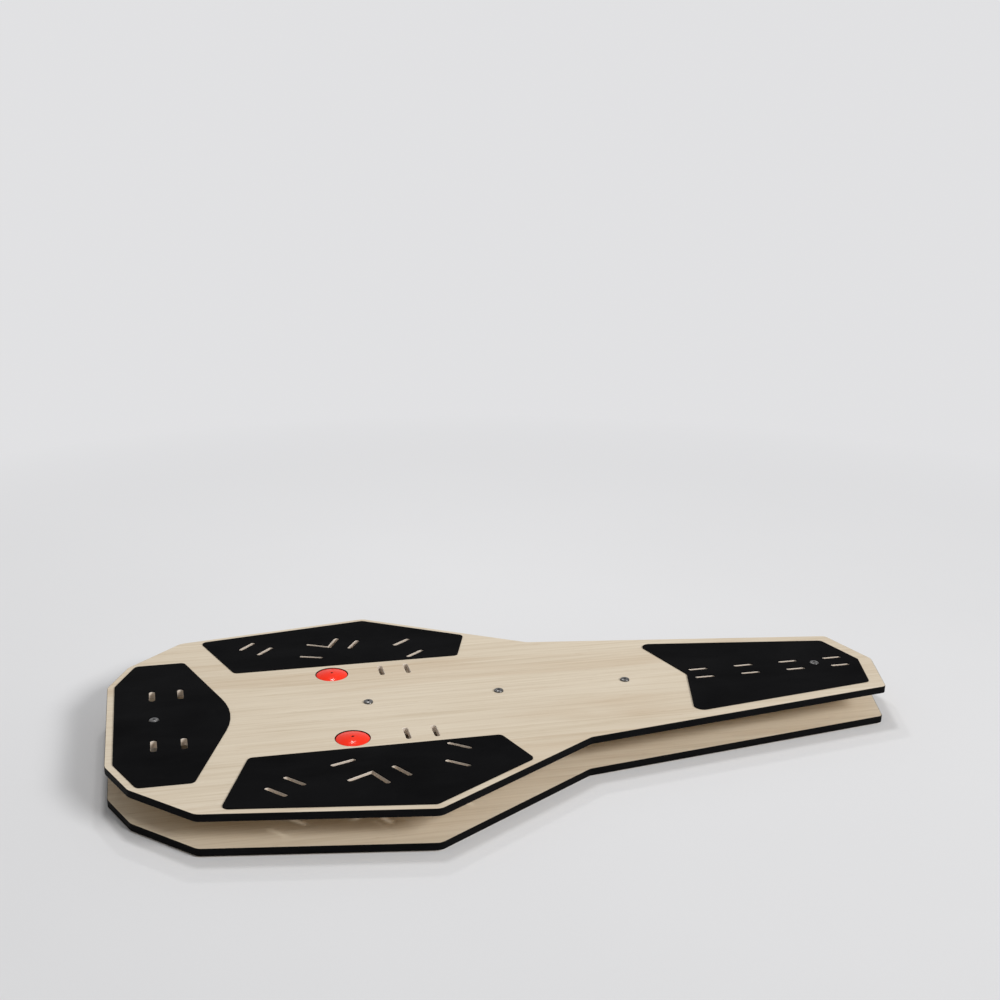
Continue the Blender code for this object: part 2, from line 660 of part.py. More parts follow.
def add_deck_bolts(deck, steel):
    """The domed bolts that hold the blocks to the deck, each on a washer on its top."""
    under_head = DECK_WASHER_SEAT + DECK_WASHER_THICKNESS + SEAT_GAP
    end = AXIS_HEIGHT - BLOCK_DROP + DECK_BOLT_SETBACK
    shank = DECK_BOLT_DIAMETER / 2
    head = DECK_HEAD_DIAMETER / 2
    crown = DECK_HEAD_CROWN / 2
    socket = DECK_SOCKET_FLATS / 2
    profile = [(shank, end - under_head), (shank, 0.0), (head, 0.0)]
    for step in range(HEAD_DOME_STEPS + 1):
        angle = pi / 2 * step / HEAD_DOME_STEPS
        height = DECK_HEAD_RIM + (DECK_HEAD_HEIGHT - DECK_HEAD_RIM) * sin(angle)
        profile.append((crown + (head - crown) * cos(angle), height))
    profile += [(socket, DECK_HEAD_HEIGHT, 6), (socket, DECK_HEAD_HEIGHT - DECK_SOCKET_DEPTH, 6)]
    bolt = turned(profile, SMALL_STEPS)
    hole = shank + HOLE_CLEARANCE
    rim = DECK_WASHER_DIAMETER / 2
    washer = turned(
        [(rim, 0.0), (rim, DECK_WASHER_THICKNESS), (hole, DECK_WASHER_THICKNESS), (hole, 0.0)],
        SMALL_STEPS, ring=True)
    for k, x in enumerate(BLOCK_XS):
        add_piece("deck_bolt_%d" % (k + 1), bolt, steel, deck, (x, 0.0, under_head))
        add_piece("deck_washer_%d" % (k + 1), washer, steel, deck, (x, 0.0, DECK_WASHER_SEAT))


def housing_bolt_places():
    """Where the housings' bolts stand on the base."""
    return [(PIVOT_X + d, side * HOUSING_BOLT_PITCH / 2) for d in HOUSING_OFFSETS for side in (-1, 1)]


def add_housings(base, iron, bronze):
    """The pivot housings on the base, each with a flanged bush for the shaft."""
    foot = -PLATE_GAP / 2 + SEAT_GAP
    flange_top = foot + HOUSING_FLANGE
    dome = PLATE_GAP / 2 - HOUSING_HEADROOM
    right = [
        (-dome, -dome, dome, HOUSING_ARCH_STEPS),
        (-flange_top, -dome, HOUSING_FILLET, CORNER_STEPS),
        (-flange_top, -HOUSING_HALF_SPAN, HOUSING_FILLET, CORNER_STEPS),
        (-foot, -HOUSING_HALF_SPAN, HOUSING_ARRIS, 1),
    ]
    left = [(x, -y, radius, steps) for x, y, radius, steps in reversed(right)]
    body = upright_block(left + right, BUSH_RADIUS + SEAT_GAP, HOUSING_LENGTH)
    hole = HOUSING_BOLT_DIAMETER / 2 + HOLE_CLEARANCE
    bolt_hole = turned([(hole, -PLATE_GAP), (hole, 0.0)], SMALL_STEPS)
    holes = gathered(bolt_hole, [(0.0, side * HOUSING_BOLT_PITCH / 2, 0.0) for side in (-1, 1)])
    mesh = carved(body, [holes])

    rim = BUSH_RADIUS + BUSH_RIM
    face = HOUSING_LENGTH / 2 + SEAT_GAP
    end = face + BUSH_RIM_THICKNESS
    front_bush = along_x(turned(
        [(BUSH_RADIUS, -HOUSING_LENGTH / 2), (BUSH_RADIUS, face), (rim, face), (rim, end),
         (BORE_RADIUS, end), (BORE_RADIUS, -HOUSING_LENGTH / 2)], ROUND_STEPS, ring=True))
    rear_bush = front_bush.copy()
    rear_bush.transform(Matrix.Rotation(pi, 4, "Z"))
    for k, offset in enumerate(HOUSING_OFFSETS):
        place = (PIVOT_X + offset, 0.0, AXIS_HEIGHT)
        add_piece("pivot_housing_%d" % (k + 1), mesh, iron, base, place)
        add_piece("pivot_bush_%d" % (k + 1), front_bush if offset > 0 else rear_bush, bronze, base, place)


def add_housing_bolts(base, steel):
    """The housings' flanged bolts and the tee nuts that they screw into."""
    under_head = BASE_TOP + SEAT_GAP + HOUSING_FLANGE + SEAT_GAP
    shank = HOUSING_BOLT_DIAMETER / 2
    flats = HOUSING_HEAD_FLATS / 2
    bolt = turned(
        [(shank, BASE_BOTTOM + TEE_NUT_FLANGE_THICKNESS - under_head), (shank, 0.0),
         (HOUSING_HEAD_DIAMETER / 2, 0.0), (HOUSING_HEAD_DIAMETER / 2, HOUSING_HEAD_RIM),
         (flats, HOUSING_HEAD_RIM, 6), (flats, HOUSING_HEAD_HEIGHT, 6)], SMALL_STEPS)
    hole = shank + HOLE_CLEARANCE
    barrel = hole + TEE_NUT_WALL
    flange = TEE_NUT_FLANGE_DIAMETER / 2
    barrel_top = PLATE_THICKNESS - TEE_NUT_SETBACK
    nut = turned(
        [(flange, 0.0), (flange, TEE_NUT_FLANGE_THICKNESS), (barrel, TEE_NUT_FLANGE_THICKNESS),
         (barrel, barrel_top), (hole, barrel_top), (hole, 0.0)], SMALL_STEPS, ring=True)
    for k, (x, y) in enumerate(housing_bolt_places()):
        add_piece("housing_bolt_%d" % (k + 1), bolt, steel, base, (x, y, under_head))
        add_piece("housing_tee_nut_%d" % (k + 1), nut, steel, base, (x, y, BASE_BOTTOM))


def add_pads(base, rubber):
    """The pads that the base stands on, inside its corners."""
    top = PAD_HEIGHT - SEAT_GAP
    rim = PAD_DIAMETER / 2
    mesh = turned([(rim - PAD_ARRIS, 0.0), (rim, PAD_ARRIS), (rim, top)], MEDIUM_STEPS)
    rear = crossing(inset_edge(0, PAD_INSET), ((REAR_X + PAD_INSET, 0.0), (0.0, 1.0)))
    places = [rear] + [crossing(inset_edge(k - 1, PAD_INSET), inset_edge(k, PAD_INSET)) for k in (3, 4, 5)]
    count = 0
    for x, y in places:
        for side in (-1, 1):
            count += 1
            add_piece("base_pad_%d" % count, mesh, rubber, base, (x, side * y, 0.0))


def main():
    clear_scene()
    birch = material("birch", (0.78, 0.66, 0.50), 0.45)
    mat_rubber = material("mat_rubber", (0.012, 0.012, 0.013), 0.75)
    ball_rubber = material("ball_rubber", (0.85, 0.07, 0.02), 0.25)
    pad_rubber = material("pad_rubber", (0.02, 0.02, 0.02), 0.85)
    zinc_steel = material("zinc_steel", (0.62, 0.63, 0.65), 0.35, 1.0)
    dark_steel = material("dark_steel", (0.12, 0.12, 0.12), 0.32, 1.0)
    ground_steel = material("ground_steel", (0.55, 0.56, 0.58), 0.22, 1.0)
    aluminium = material("aluminium", (0.72, 0.73, 0.74), 0.38, 1.0)
    cast_iron = material("cast_iron", (0.05, 0.052, 0.055), 0.6, 0.4)
    bronze = material("bronze", (0.65, 0.42, 0.20), 0.4, 1.0)

    base = add_axis("base_frame", (0.0, 0.0, 0.0))
    deck = add_axis("roll_axis", (0.0, 0.0, AXIS_HEIGHT))
    add_plates(base, deck, birch)
    add_mats(deck, mat_rubber)
    add_balls(base, ball_rubber)
    add_shaft(deck, ground_steel)
    add_blocks(deck, aluminium)
    add_deck_bolts(deck, dark_steel)
    add_housings(base, cast_iron, bronze)
    add_housing_bolts(base, zinc_steel)
    add_pads(base, pad_rubber)


main()
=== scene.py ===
import json
from math import atan2, ceil, cos, hypot, pi, radians, sin, sqrt, tan

import bmesh
import bpy
from mathutils import Matrix, Vector

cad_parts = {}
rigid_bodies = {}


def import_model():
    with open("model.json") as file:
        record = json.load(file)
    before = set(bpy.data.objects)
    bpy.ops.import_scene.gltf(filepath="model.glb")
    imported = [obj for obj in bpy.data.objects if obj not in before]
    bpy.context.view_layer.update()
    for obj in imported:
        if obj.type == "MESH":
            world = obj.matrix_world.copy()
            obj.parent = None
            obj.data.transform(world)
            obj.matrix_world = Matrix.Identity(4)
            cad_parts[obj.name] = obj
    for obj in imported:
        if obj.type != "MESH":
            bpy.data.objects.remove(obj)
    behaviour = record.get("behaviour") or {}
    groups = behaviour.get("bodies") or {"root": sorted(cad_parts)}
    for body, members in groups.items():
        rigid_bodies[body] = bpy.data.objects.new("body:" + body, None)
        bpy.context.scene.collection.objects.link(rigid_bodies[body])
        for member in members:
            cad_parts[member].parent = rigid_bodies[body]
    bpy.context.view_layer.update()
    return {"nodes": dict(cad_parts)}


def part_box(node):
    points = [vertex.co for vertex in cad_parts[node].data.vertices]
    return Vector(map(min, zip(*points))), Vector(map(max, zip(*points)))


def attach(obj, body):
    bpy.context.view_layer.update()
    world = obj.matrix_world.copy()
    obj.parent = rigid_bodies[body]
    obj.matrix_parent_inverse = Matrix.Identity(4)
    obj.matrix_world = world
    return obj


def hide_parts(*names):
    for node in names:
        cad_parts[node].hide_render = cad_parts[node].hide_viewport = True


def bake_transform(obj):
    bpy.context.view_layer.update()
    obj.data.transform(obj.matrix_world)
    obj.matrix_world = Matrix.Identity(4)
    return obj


# Rocker plate: two birch plywood plates, anti-slip mats, two inflated balls and the roll pivot.
# Metres, +Z up, +X to the plates' nose. The frame holds the solids, and this script dresses them.

for spare in list(bpy.data.objects):
    bpy.data.objects.remove(spare)
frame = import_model()
print("frame loaded,", len(frame["nodes"]), "solids")


# Working at the bench

seatGap = 0.00002  # between a piece and the one that it sits on
cutPast = 0.003  # how far a cutter runs out of a piece
edgeSlack = 0.00009  # by which a flat piece is drawn inside its solid's edge
weldFlat, weldTurned = 0.00001, 0.000002
faceTilt, wallTilt = 0.999, 0.1  # a normal's upward part, at least for a face and at most for a wall


def newPiece(name, data):
    piece = bpy.data.objects.new(name, data)
    bpy.context.scene.collection.objects.link(piece)
    return piece


def letGo():
    bpy.ops.object.select_all(action="DESELECT")


def discard(*pieces):
    for piece in pieces:
        bpy.data.objects.remove(piece)


def takeUp(piece):
    letGo()
    piece.select_set(True)
    bpy.context.view_layer.objects.active = piece


def startEdit(piece):
    takeUp(piece)
    bpy.ops.object.mode_set(mode="EDIT")


def endEdit():
    bpy.ops.object.mode_set(mode="OBJECT")


def weld(distance):
    # the whole piece, and then out of edit mode
    bpy.ops.mesh.select_all(action="SELECT")
    bpy.ops.mesh.remove_doubles(threshold=distance)
    bpy.ops.mesh.normals_make_consistent(inside=False)
    endEdit()


def settle(piece):
    # the place goes into the mesh, and the object back to the origin
    takeUp(piece)
    bpy.ops.object.transform_apply(location=True, rotation=True, scale=True)


def applyAll(piece):
    takeUp(piece)
    for modifier in list(piece.modifiers):
        bpy.ops.object.modifier_apply(modifier=modifier.name)


def pickFaces(piece, wanted):
    # in edit mode: only the faces whose middle and normal pass the test
    bpy.ops.mesh.select_mode(type="FACE")
    bpy.ops.mesh.select_all(action="DESELECT")
    mesh = bmesh.from_edit_mesh(piece.data)
    for face in mesh.faces:
        if wanted(face.calc_center_median(), face.normal):
            face.select_set(True)
    mesh.select_flush_mode()
    bmesh.update_edit_mesh(piece.data)


def paintPicked(piece, slot):
    piece.active_material_index = slot
    bpy.ops.object.material_slot_assign()


def copyTo(pattern, name, place, turn=0.0):
    twin = newPiece(name, pattern.data.copy())
    twin.location = place
    twin.rotation_euler = (0.0, 0.0, turn)
    settle(twin)
    return twin


def layAlongX(piece):
    # a piece turned round Z is laid down, with its top towards +X
    piece.rotation_euler = (0.0, pi / 2, 0.0)
    settle(piece)


def smoothUpTo(piece, degrees):
    takeUp(piece)
    bpy.ops.object.shade_smooth_by_angle(angle=radians(degrees))


def easeEdges(piece, width, degrees):
    bevel = piece.modifiers.new("arris", "BEVEL")
    bevel.width = width
    bevel.segments = 1
    bevel.limit_method = "ANGLE"
    bevel.angle_limit = radians(degrees)
    applyAll(piece)


def shapeWith(piece, tool, way="DIFFERENCE"):
    # the tool is cut away from the piece, welded to it or kept in common with it, and then it is gone
    step = piece.modifiers.new("shape", "BOOLEAN")
    step.operation = way
    step.solver = "EXACT"
    step.material_mode = "TRANSFER"
    step.object = tool
    applyAll(piece)
    discard(tool)


def moveTo(piece, x, y, z):
    piece.location = (x, y, z)
    settle(piece)
    return piece


def putOn(piece, *names):
    piece.data.materials.clear()
    for name in names:
        piece.data.materials.append(finishes[name])


def middleOf(node):
    low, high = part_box(node)
    return (low + high) / 2


# Drawing outlines


def onArc(x, y, radius, angle):
    return x + radius * cos(angle), y + radius * sin(angle)


def roundCorners(corners):
    # (x, y, radius) corners of a loop, each rounded in steps of about 7 degrees
    loop = []
    for k, (x, y, radius) in enumerate(corners):
        lastX, lastY = corners[k - 1][:2]
        nextX, nextY = corners[(k + 1) % len(corners)][:2]
        comes = atan2(y - lastY, x - lastX)
        goes = atan2(nextY - y, nextX - x)
        turn = (goes - comes + pi) % (2 * pi) - pi
        side = 1.0 if turn > 0 else -1.0
        reach = radius * tan(abs(turn) / 2)
        middleX = x - reach * cos(comes) - side * radius * sin(comes)
        middleY = y - reach * sin(comes) + side * radius * cos(comes)
        steps = max(2, ceil(abs(turn) / radians(7.0)))
        for step in range(steps + 1):
            angle = comes + turn * step / steps - side * pi / 2
            loop.append(onArc(middleX, middleY, radius, angle))
    return loop


def roundHole(x, y, radius, steps=72):
    return [onArc(x, y, radius, 2 * pi * k / steps) for k in range(steps)]


def slotHole(path, width):
    # a router's cut of this width along a straight or bent path
    loop, steps = [], 12
    for points in (path, path[::-1]):
        for k, (x, y) in enumerate(points):
            lastX, lastY = points[max(k - 1, 0)]
            nextX, nextY = points[min(k + 1, len(points) - 1)]
            comes = atan2(y - lastY, x - lastX) if k else atan2(nextY - y, nextX - x)
            goes = atan2(nextY - y, nextX - x) if k < len(points) - 1 else comes
            half = ((goes - comes + pi) % (2 * pi) - pi) / 2
            loop.append(onArc(x, y, width / 2 / cos(half), comes + half - pi / 2))
        (beforeX, beforeY), (endX, endY) = points[-2], points[-1]
        start = atan2(endY - beforeY, endX - beforeX) - pi / 2
        for step in range(1, steps):
            loop.append(onArc(endX, endY, width / 2, start + pi * step / steps))
    return loop


def straightSlot(x, y, degrees, length, width):
    reach, angle = (length - width) / 2, radians(degrees)
    return slotHole([onArc(x, y, -reach, angle), onArc(x, y, reach, angle)], width)


def bothSides(left):
    # the left corners, and then their mirror images on the right
    return left + [(x, -y, radius) for x, y, radius in reversed(left) if abs(y) > 1e-9]


def spread(loop):
    # twice the loop's area, positive where it runs anticlockwise
    return sum(ax * by - bx * ay for (ax, ay), (bx, by) in zip(loop, loop[1:] + loop[:1]))


def cutFlat(name, outline, openings, bottom, top, arris):
    # a flat piece from drawn loops, with its edges eased all round
    drawing = bpy.data.curves.new(name, "CURVE")
    drawing.dimensions = "2D"
    drawing.fill_mode = "BOTH"
    drawing.extrude = (top - bottom) / 2 - arris
    drawing.bevel_depth = arris
    drawing.bevel_resolution = 1
    drawing.offset = -arris - edgeSlack
    for k, loop in enumerate([outline] + openings):
        if (spread(loop) > 0) == (k > 0):
            loop = loop[::-1]
        line = drawing.splines.new("POLY")
        line.points.add(len(loop) - 1)
        for point, (x, y) in zip(line.points, loop):
            point.co = (x, y, 0.0, 1.0)
        line.use_cyclic_u = True
    piece = newPiece(name, drawing)
    piece.location.z = (bottom + top) / 2
    takeUp(piece)
    bpy.ops.object.convert(target="MESH")
    piece = bpy.context.object
    settle(piece)
    startEdit(piece)
    weld(weldFlat)
    return piece


def turnUp(name, rings, sides=96, cap=True):
    # a turned piece: a circle, extruded and scaled from ring to ring, as (radius, height)
    radius, height = rings[0]
    letGo()
    bpy.ops.mesh.primitive_circle_add(vertices=sides, radius=radius, location=(0.0, 0.0, height))
    piece = bpy.context.object
    piece.name = name
    settle(piece)
    startEdit(piece)
    bpy.ops.mesh.select_mode(type="EDGE")
    bpy.ops.mesh.select_all(action="SELECT")
    if cap:
        bpy.ops.mesh.edge_face_add()
        bpy.ops.mesh.select_mode(type="EDGE")
    for nextRadius, nextHeight in rings[1:] + ([] if cap else rings[:1]):
        bpy.ops.mesh.extrude_edges_move(
            TRANSFORM_OT_translate={"value": (0.0, 0.0, nextHeight - height)})
        scale = nextRadius / radius
        bpy.ops.transform.resize(value=(scale, scale, 1.0), center_override=(0.0, 0.0, nextHeight))
        radius, height = nextRadius, nextHeight
    if cap:
        bpy.ops.mesh.edge_face_add()
    weld(weldTurned)
    return piece


# Finishes


def feed(tree, socket, value):
    # a socket's value is another node's output, a colour or a plain number
    if isinstance(value, bpy.types.NodeSocket):
        tree.links.new(value, socket)
    elif socket.type == "RGBA":
        socket.default_value = (*value, 1.0)
    else:
        socket.default_value = value


def addNode(tree, kind, sockets=None, **settings):
    node = tree.nodes.new("ShaderNode" + kind)
    for name, value in settings.items():
        setattr(node, name, value)
    for name, value in (sockets or {}).items():
        feed(tree, node.inputs[name], value)
    return node


def newFinish(name):
    finish = bpy.data.materials.new(name)
    finish.use_nodes = True
    tree = finish.node_tree
    return finish, tree, tree.nodes["Principled BSDF"]


def dress(tree, shader, sockets):
    for name, value in sockets.items():
        feed(tree, shader.inputs[name], value)


def ownPlace(tree):
    return addNode(tree, "TexCoord").outputs["Object"]


def noise(tree, scales, detail=3.0, rough=0.5, twist=0.0, shift=(0.0, 0.0, 0.0)):
    # in the piece's own coordinates, scaled along X, Y and Z and then shifted
    place = addNode(tree, "Mapping", {"Vector": ownPlace(tree), "Scale": scales, "Location": shift})
    return addNode(tree, "TexNoise", {
        "Vector": place.outputs["Vector"], "Scale": 1.0, "Detail": detail, "Roughness": rough,
        "Distortion": twist}).outputs["Fac"]


def fitRange(tree, value, fromLow, fromHigh, low, high):
    return addNode(tree, "MapRange", {
        "Value": value, "From Min": fromLow, "From Max": fromHigh, "To Min": low,
        "To Max": high}).outputs["Result"]


def ramp(tree, value, stops):
    node = addNode(tree, "ValToRGB", {"Fac": value})
    elements = node.color_ramp.elements
    while len(elements) < len(stops):
        elements.new(0.5)
    for element, (place, color) in zip(elements, stops):
        element.position = place
        element.color = (*color, 1.0)
    return node.outputs["Color"]


def blendColors(tree, share, first, second, way="MIX"):
    node = addNode(tree, "Mix", data_type="RGBA", blend_type=way)
    # the node keeps its share at 0 and its two colours at 6 and 7
    for index, value in ((0, share), (6, first), (7, second)):
        feed(tree, node.inputs[index], value)
    return node.outputs[2]


def mixShaders(tree, share, first, second):
    node = addNode(tree, "MixShader", {"Fac": share})
    feed(tree, node.inputs[1], first)
    feed(tree, node.inputs[2], second)
    return node.outputs["Shader"]


def sums(tree, way, *values):
    node = addNode(tree, "Math", operation=way)
    for socket, value in zip(node.inputs, values):
        feed(tree, socket, value)
    return node.outputs["Value"]


def bump(tree, height, strength, distance):
    return addNode(tree, "Bump", {
        "Height": height, "Strength": strength, "Distance": distance}).outputs["Normal"]


def birchVeneer(name, light, dark, shift):
    # rotary-cut birch along X: broad figure, fine fibre streaks and a few short brown flecks
    finish, tree, shader = newFinish(name)
    figure = noise(tree, (1.1, 11.0, 9.0), 4.0, 0.55, 0.9, shift)
    streaks = noise(tree, (3.5, 150.0, 9.0), 6.0, 0.62, 0.15, shift)
    flecks = noise(tree, (28.0, 420.0, 9.0), shift=shift)
    clouds = noise(tree, (1.3, 2.2, 9.0), 2.0, shift=shift)
    between = tuple(c * 0.975 for c in light)
    color = ramp(tree, figure, [(0.30, light), (0.52, between), (0.74, dark)])
    fibres = ramp(tree, streaks, [
        (0.30, (0.83, 0.79, 0.73)), (0.50, (0.97, 0.96, 0.95)), (0.68, (1.04, 1.05, 1.06))])
    color = blendColors(tree, 0.75, color, fibres, "MULTIPLY")
    shade = ramp(tree, clouds, [(0.30, (0.95, 0.93, 0.90)), (0.70, (1.03, 1.03, 1.03))])
    color = blendColors(tree, 0.8, color, shade, "MULTIPLY")
    spots = fitRange(tree, flecks, 0.66, 0.76, 0.0, 0.5)
    dress(tree, shader, {
        "Base Color": blendColors(tree, spots, color, (0.42, 0.29, 0.17)),
        "Roughness": fitRange(tree, streaks, 0.3, 0.7, 0.68, 0.56),
        "Specular IOR Level": 0.16,
        "Normal": bump(tree, streaks, 0.25, 0.0003)})
    return finish


plyThickness = 0.015 / 11
deckUnderside, baseUnderside = 0.071, 0.003


def pliesUp(tree, bottom):
    # the height over a plate's underside, counted in plies
    split = addNode(tree, "SeparateXYZ", {"Vector": ownPlace(tree)})
    return sums(tree, "DIVIDE", sums(tree, "SUBTRACT", split.outputs["Z"], bottom), plyThickness)


def fromPlyMiddle(tree, height):
    return sums(tree, "ABSOLUTE", sums(tree, "SUBTRACT", sums(tree, "FRACT", height), 0.5))


def plyLayers(name, bottom):
    # sawn plywood: eleven thin plies, every second one end grain, with dark glue lines. Both ply tones are
    # set lighter than the face veneer, painted light that lifts the shade inside the slots
    finish, tree, shader = newFinish(name)
    waver = noise(tree, (9.0, 9.0, 40.0), 2.0)
    height = sums(tree, "ADD", pliesUp(tree, bottom), fitRange(tree, waver, 0.0, 1.0, -0.12, 0.12))
    across = sums(tree, "GREATER_THAN", sums(tree, "FRACT", sums(tree, "MULTIPLY", height, 0.5)), 0.5)
    wood = sums(tree, "LESS_THAN", fromPlyMiddle(tree, height), 0.44)
    grain = noise(tree, (60.0, 60.0, 900.0), 4.0, 0.6)
    pores = noise(tree, (1400.0, 1400.0, 1100.0), 2.0)
    # painted light: these grain tones are the sawn wood's, raised past the veneer's to brighten the shaded
    # slot walls
    long = ramp(tree, grain, [(0.3, (0.77, 0.68, 0.58)), (0.7, (0.86, 0.78, 0.69))])
    end = ramp(tree, pores, [(0.35, (0.64, 0.55, 0.45)), (0.65, (0.78, 0.69, 0.60))])
    relief = sums(tree, "ADD", wood, sums(tree, "MULTIPLY", pores, 0.5))
    dress(tree, shader, {
        "Base Color": blendColors(tree, wood, (0.30, 0.20, 0.13), blendColors(tree, across, long, end)),
        "Roughness": fitRange(tree, across, 0.0, 1.0, 0.62, 0.8),
        "Normal": bump(tree, relief, 0.4, 0.0002)})
    return finish


def edgePaint(name, bottom):
    # black paint over the sawn edge: the plies show faintly, and the arrises are rubbed in places
    finish, tree, shader = newFinish(name)
    ridge = fromPlyMiddle(tree, pliesUp(tree, bottom))
    speckle = noise(tree, (240.0, 240.0, 240.0), 5.0, 0.65)
    patches = noise(tree, (14.0, 14.0, 60.0))
    color = ramp(tree, patches, [(0.3, (0.0026, 0.0026, 0.0028)), (0.7, (0.0048, 0.0048, 0.0052))])
    facing = addNode(tree, "NewGeometry").outputs["Normal"]
    tilt = sums(tree, "ABSOLUTE", addNode(tree, "SeparateXYZ", {"Vector": facing}).outputs["Z"])
    onArris = sums(
        tree, "MULTIPLY", sums(tree, "GREATER_THAN", tilt, 0.2), sums(tree, "LESS_THAN", tilt, 0.97))
    rubbed = sums(
        tree, "MULTIPLY", fitRange(tree, speckle, 0.60, 0.66, 0.0, 1.0),
        fitRange(tree, patches, 0.5, 0.62, 0.0, 0.7))
    bare = sums(tree, "MULTIPLY", onArris, rubbed)
    relief = sums(tree, "ADD", sums(tree, "MULTIPLY", ridge, 0.6), speckle)
    dress(tree, shader, {
        "Base Color": blendColors(tree, bare, color, (0.20, 0.15, 0.10)),
        "Roughness": fitRange(tree, patches, 0.3, 0.7, 0.46, 0.60),
        "Specular IOR Level": 0.03,
        "Normal": bump(tree, relief, 0.35, 0.00025)})
    return finish


def rubberSkin(name, dark, light, grainSize, roughness, depth, gloss):
    # moulded rubber: a fine pebbled skin with faint dusty patches
    finish, tree, shader = newFinish(name)
    pebbles = addNode(
        tree, "TexVoronoi", {"Vector": ownPlace(tree), "Scale": 1.0 / grainSize, "Randomness": 1.0},
        feature="SMOOTH_F1").outputs["Distance"]
    fine = noise(tree, (2.2 / grainSize,) * 3, 2.0)
    dust = noise(tree, (5.0, 9.0, 9.0), 5.0, 0.6, 0.4)
    relief = sums(tree, "ADD", pebbles, sums(tree, "MULTIPLY", fine, 0.4))
    dress(tree, shader, {
        "Base Color": ramp(tree, dust, [(0.32, dark), (0.68, light)]),
        "Roughness": fitRange(tree, dust, 0.3, 0.7, roughness + 0.05, roughness - 0.05),
        "Specular IOR Level": gloss,
        "Normal": bump(tree, relief, 0.5, depth)})
    return finish


def ballRubber(name):
    # glossy orange-red rubber, slightly mottled, with faint scuffs in its gloss
    finish, tree, shader = newFinish(name)
    mottle = noise(tree, (60.0, 60.0, 60.0), 4.0, 0.55)
    scuffs = noise(tree, (180.0, 180.0, 900.0), 4.0, 0.6)
    dress(tree, shader, {
        "Base Color": ramp(tree, mottle, [(0.3, (0.92, 0.024, 0.005)), (0.7, (0.96, 0.034, 0.007))]),
        "Roughness": fitRange(tree, scuffs, 0.35, 0.75, 0.135, 0.19),
        "Specular IOR Level": 0.10,
        "Normal": bump(tree, mottle, 0.08, 0.0003)})
    return finish


def metalFinish(name, dark, light, roughness, lines, depth):
    # lines are the scales of the tool marks along X, Y and Z, in marks a metre
    finish, tree, shader = newFinish(name)
    marks = noise(tree, lines, 4.0, 0.6)
    tarnish = noise(tree, (45.0, 45.0, 45.0), 4.0, 0.6, 0.5)
    dress(tree, shader, {
        "Base Color": ramp(tree, tarnish, [(0.3, dark), (0.7, light)]),
        "Metallic": 1.0,
        "Roughness": sums(
            tree, "ADD", fitRange(tree, marks, 0.3, 0.7, -0.06, 0.06),
            fitRange(tree, tarnish, 0.3, 0.7, roughness + 0.05, roughness - 0.03)),
        "Normal": bump(tree, marks, 0.25, depth)})
    return finish


def castPaint(name):
    # dark grey paint over sand-cast iron
    finish, tree, shader = newFinish(name)
    grit = noise(tree, (700.0, 700.0, 700.0), 4.0, 0.6)
    lumps = noise(tree, (90.0, 90.0, 90.0))
    relief = sums(tree, "ADD", grit, sums(tree, "MULTIPLY", lumps, 2.0))
    dress(tree, shader, {
        "Base Color": ramp(tree, lumps, [(0.3, (0.028, 0.030, 0.034)), (0.7, (0.048, 0.050, 0.055))]),
        "Metallic": 0.2,
        "Roughness": fitRange(tree, grit, 0.3, 0.7, 0.48, 0.62),
        "Normal": bump(tree, relief, 0.45, 0.0003)})
    return finish


finishes = {finish.name: finish for finish in (
    birchVeneer("deckVeneer", (0.708, 0.620, 0.492), (0.618, 0.510, 0.380), (0.0, 0.0, 0.0)),
    # the base's veneer is the deck's birch, coloured lighter as painted light to lift the shade under the
    # deck
    birchVeneer("baseVeneerPaintedLighter", (0.760, 0.664, 0.526), (0.660, 0.544, 0.406), (3.1, 5.7, 2.0)),
    plyLayers("deckPlies", deckUnderside),
    plyLayers("basePlies", baseUnderside),
    edgePaint("deckEdge", deckUnderside),
    edgePaint("baseEdge", baseUnderside),
    rubberSkin("matRubber", (0.0036, 0.0036, 0.0039), (0.0058, 0.0058, 0.0062), 0.0012, 0.78, 0.0002, 0.012),
    rubberSkin("padRubber", (0.010, 0.010, 0.010), (0.022, 0.022, 0.021), 0.0009, 0.85, 0.00015, 0.25),
    rubberSkin("valveRubber", (0.020, 0.006, 0.005), (0.045, 0.012, 0.009), 0.0006, 0.6, 0.00008, 0.3),
    ballRubber("ballRubber"),
    metalFinish("zincSteel", (0.52, 0.53, 0.55), (0.68, 0.69, 0.70), 0.30, (900.0, 900.0, 900.0), 0.00005),
    # dark zinc for the deck's bolts and washers; its low tone is part finish and part painted reflection of
    # dark surroundings
    metalFinish(
        "darkSteel", (0.085, 0.083, 0.082), (0.15, 0.148, 0.146), 0.30, (900.0, 900.0, 900.0), 0.00005),
    metalFinish("groundSteel", (0.50, 0.51, 0.53), (0.60, 0.61, 0.63), 0.22, (2600.0, 60.0, 60.0), 0.00004),
    metalFinish(
        "blockAluminium", (0.66, 0.67, 0.68), (0.76, 0.77, 0.78), 0.36, (40.0, 1500.0, 1500.0), 0.00006),
    metalFinish("bushBronze", (0.52, 0.33, 0.15), (0.70, 0.47, 0.23), 0.38, (1800.0, 300.0, 300.0), 0.00005),
    metalFinish(
        "machinedIron", (0.30, 0.30, 0.31), (0.42, 0.42, 0.43), 0.38, (300.0, 1600.0, 1600.0), 0.00005),
    castPaint("castPaint"),
)}
print("finishes ready,", len(finishes))


# Plates

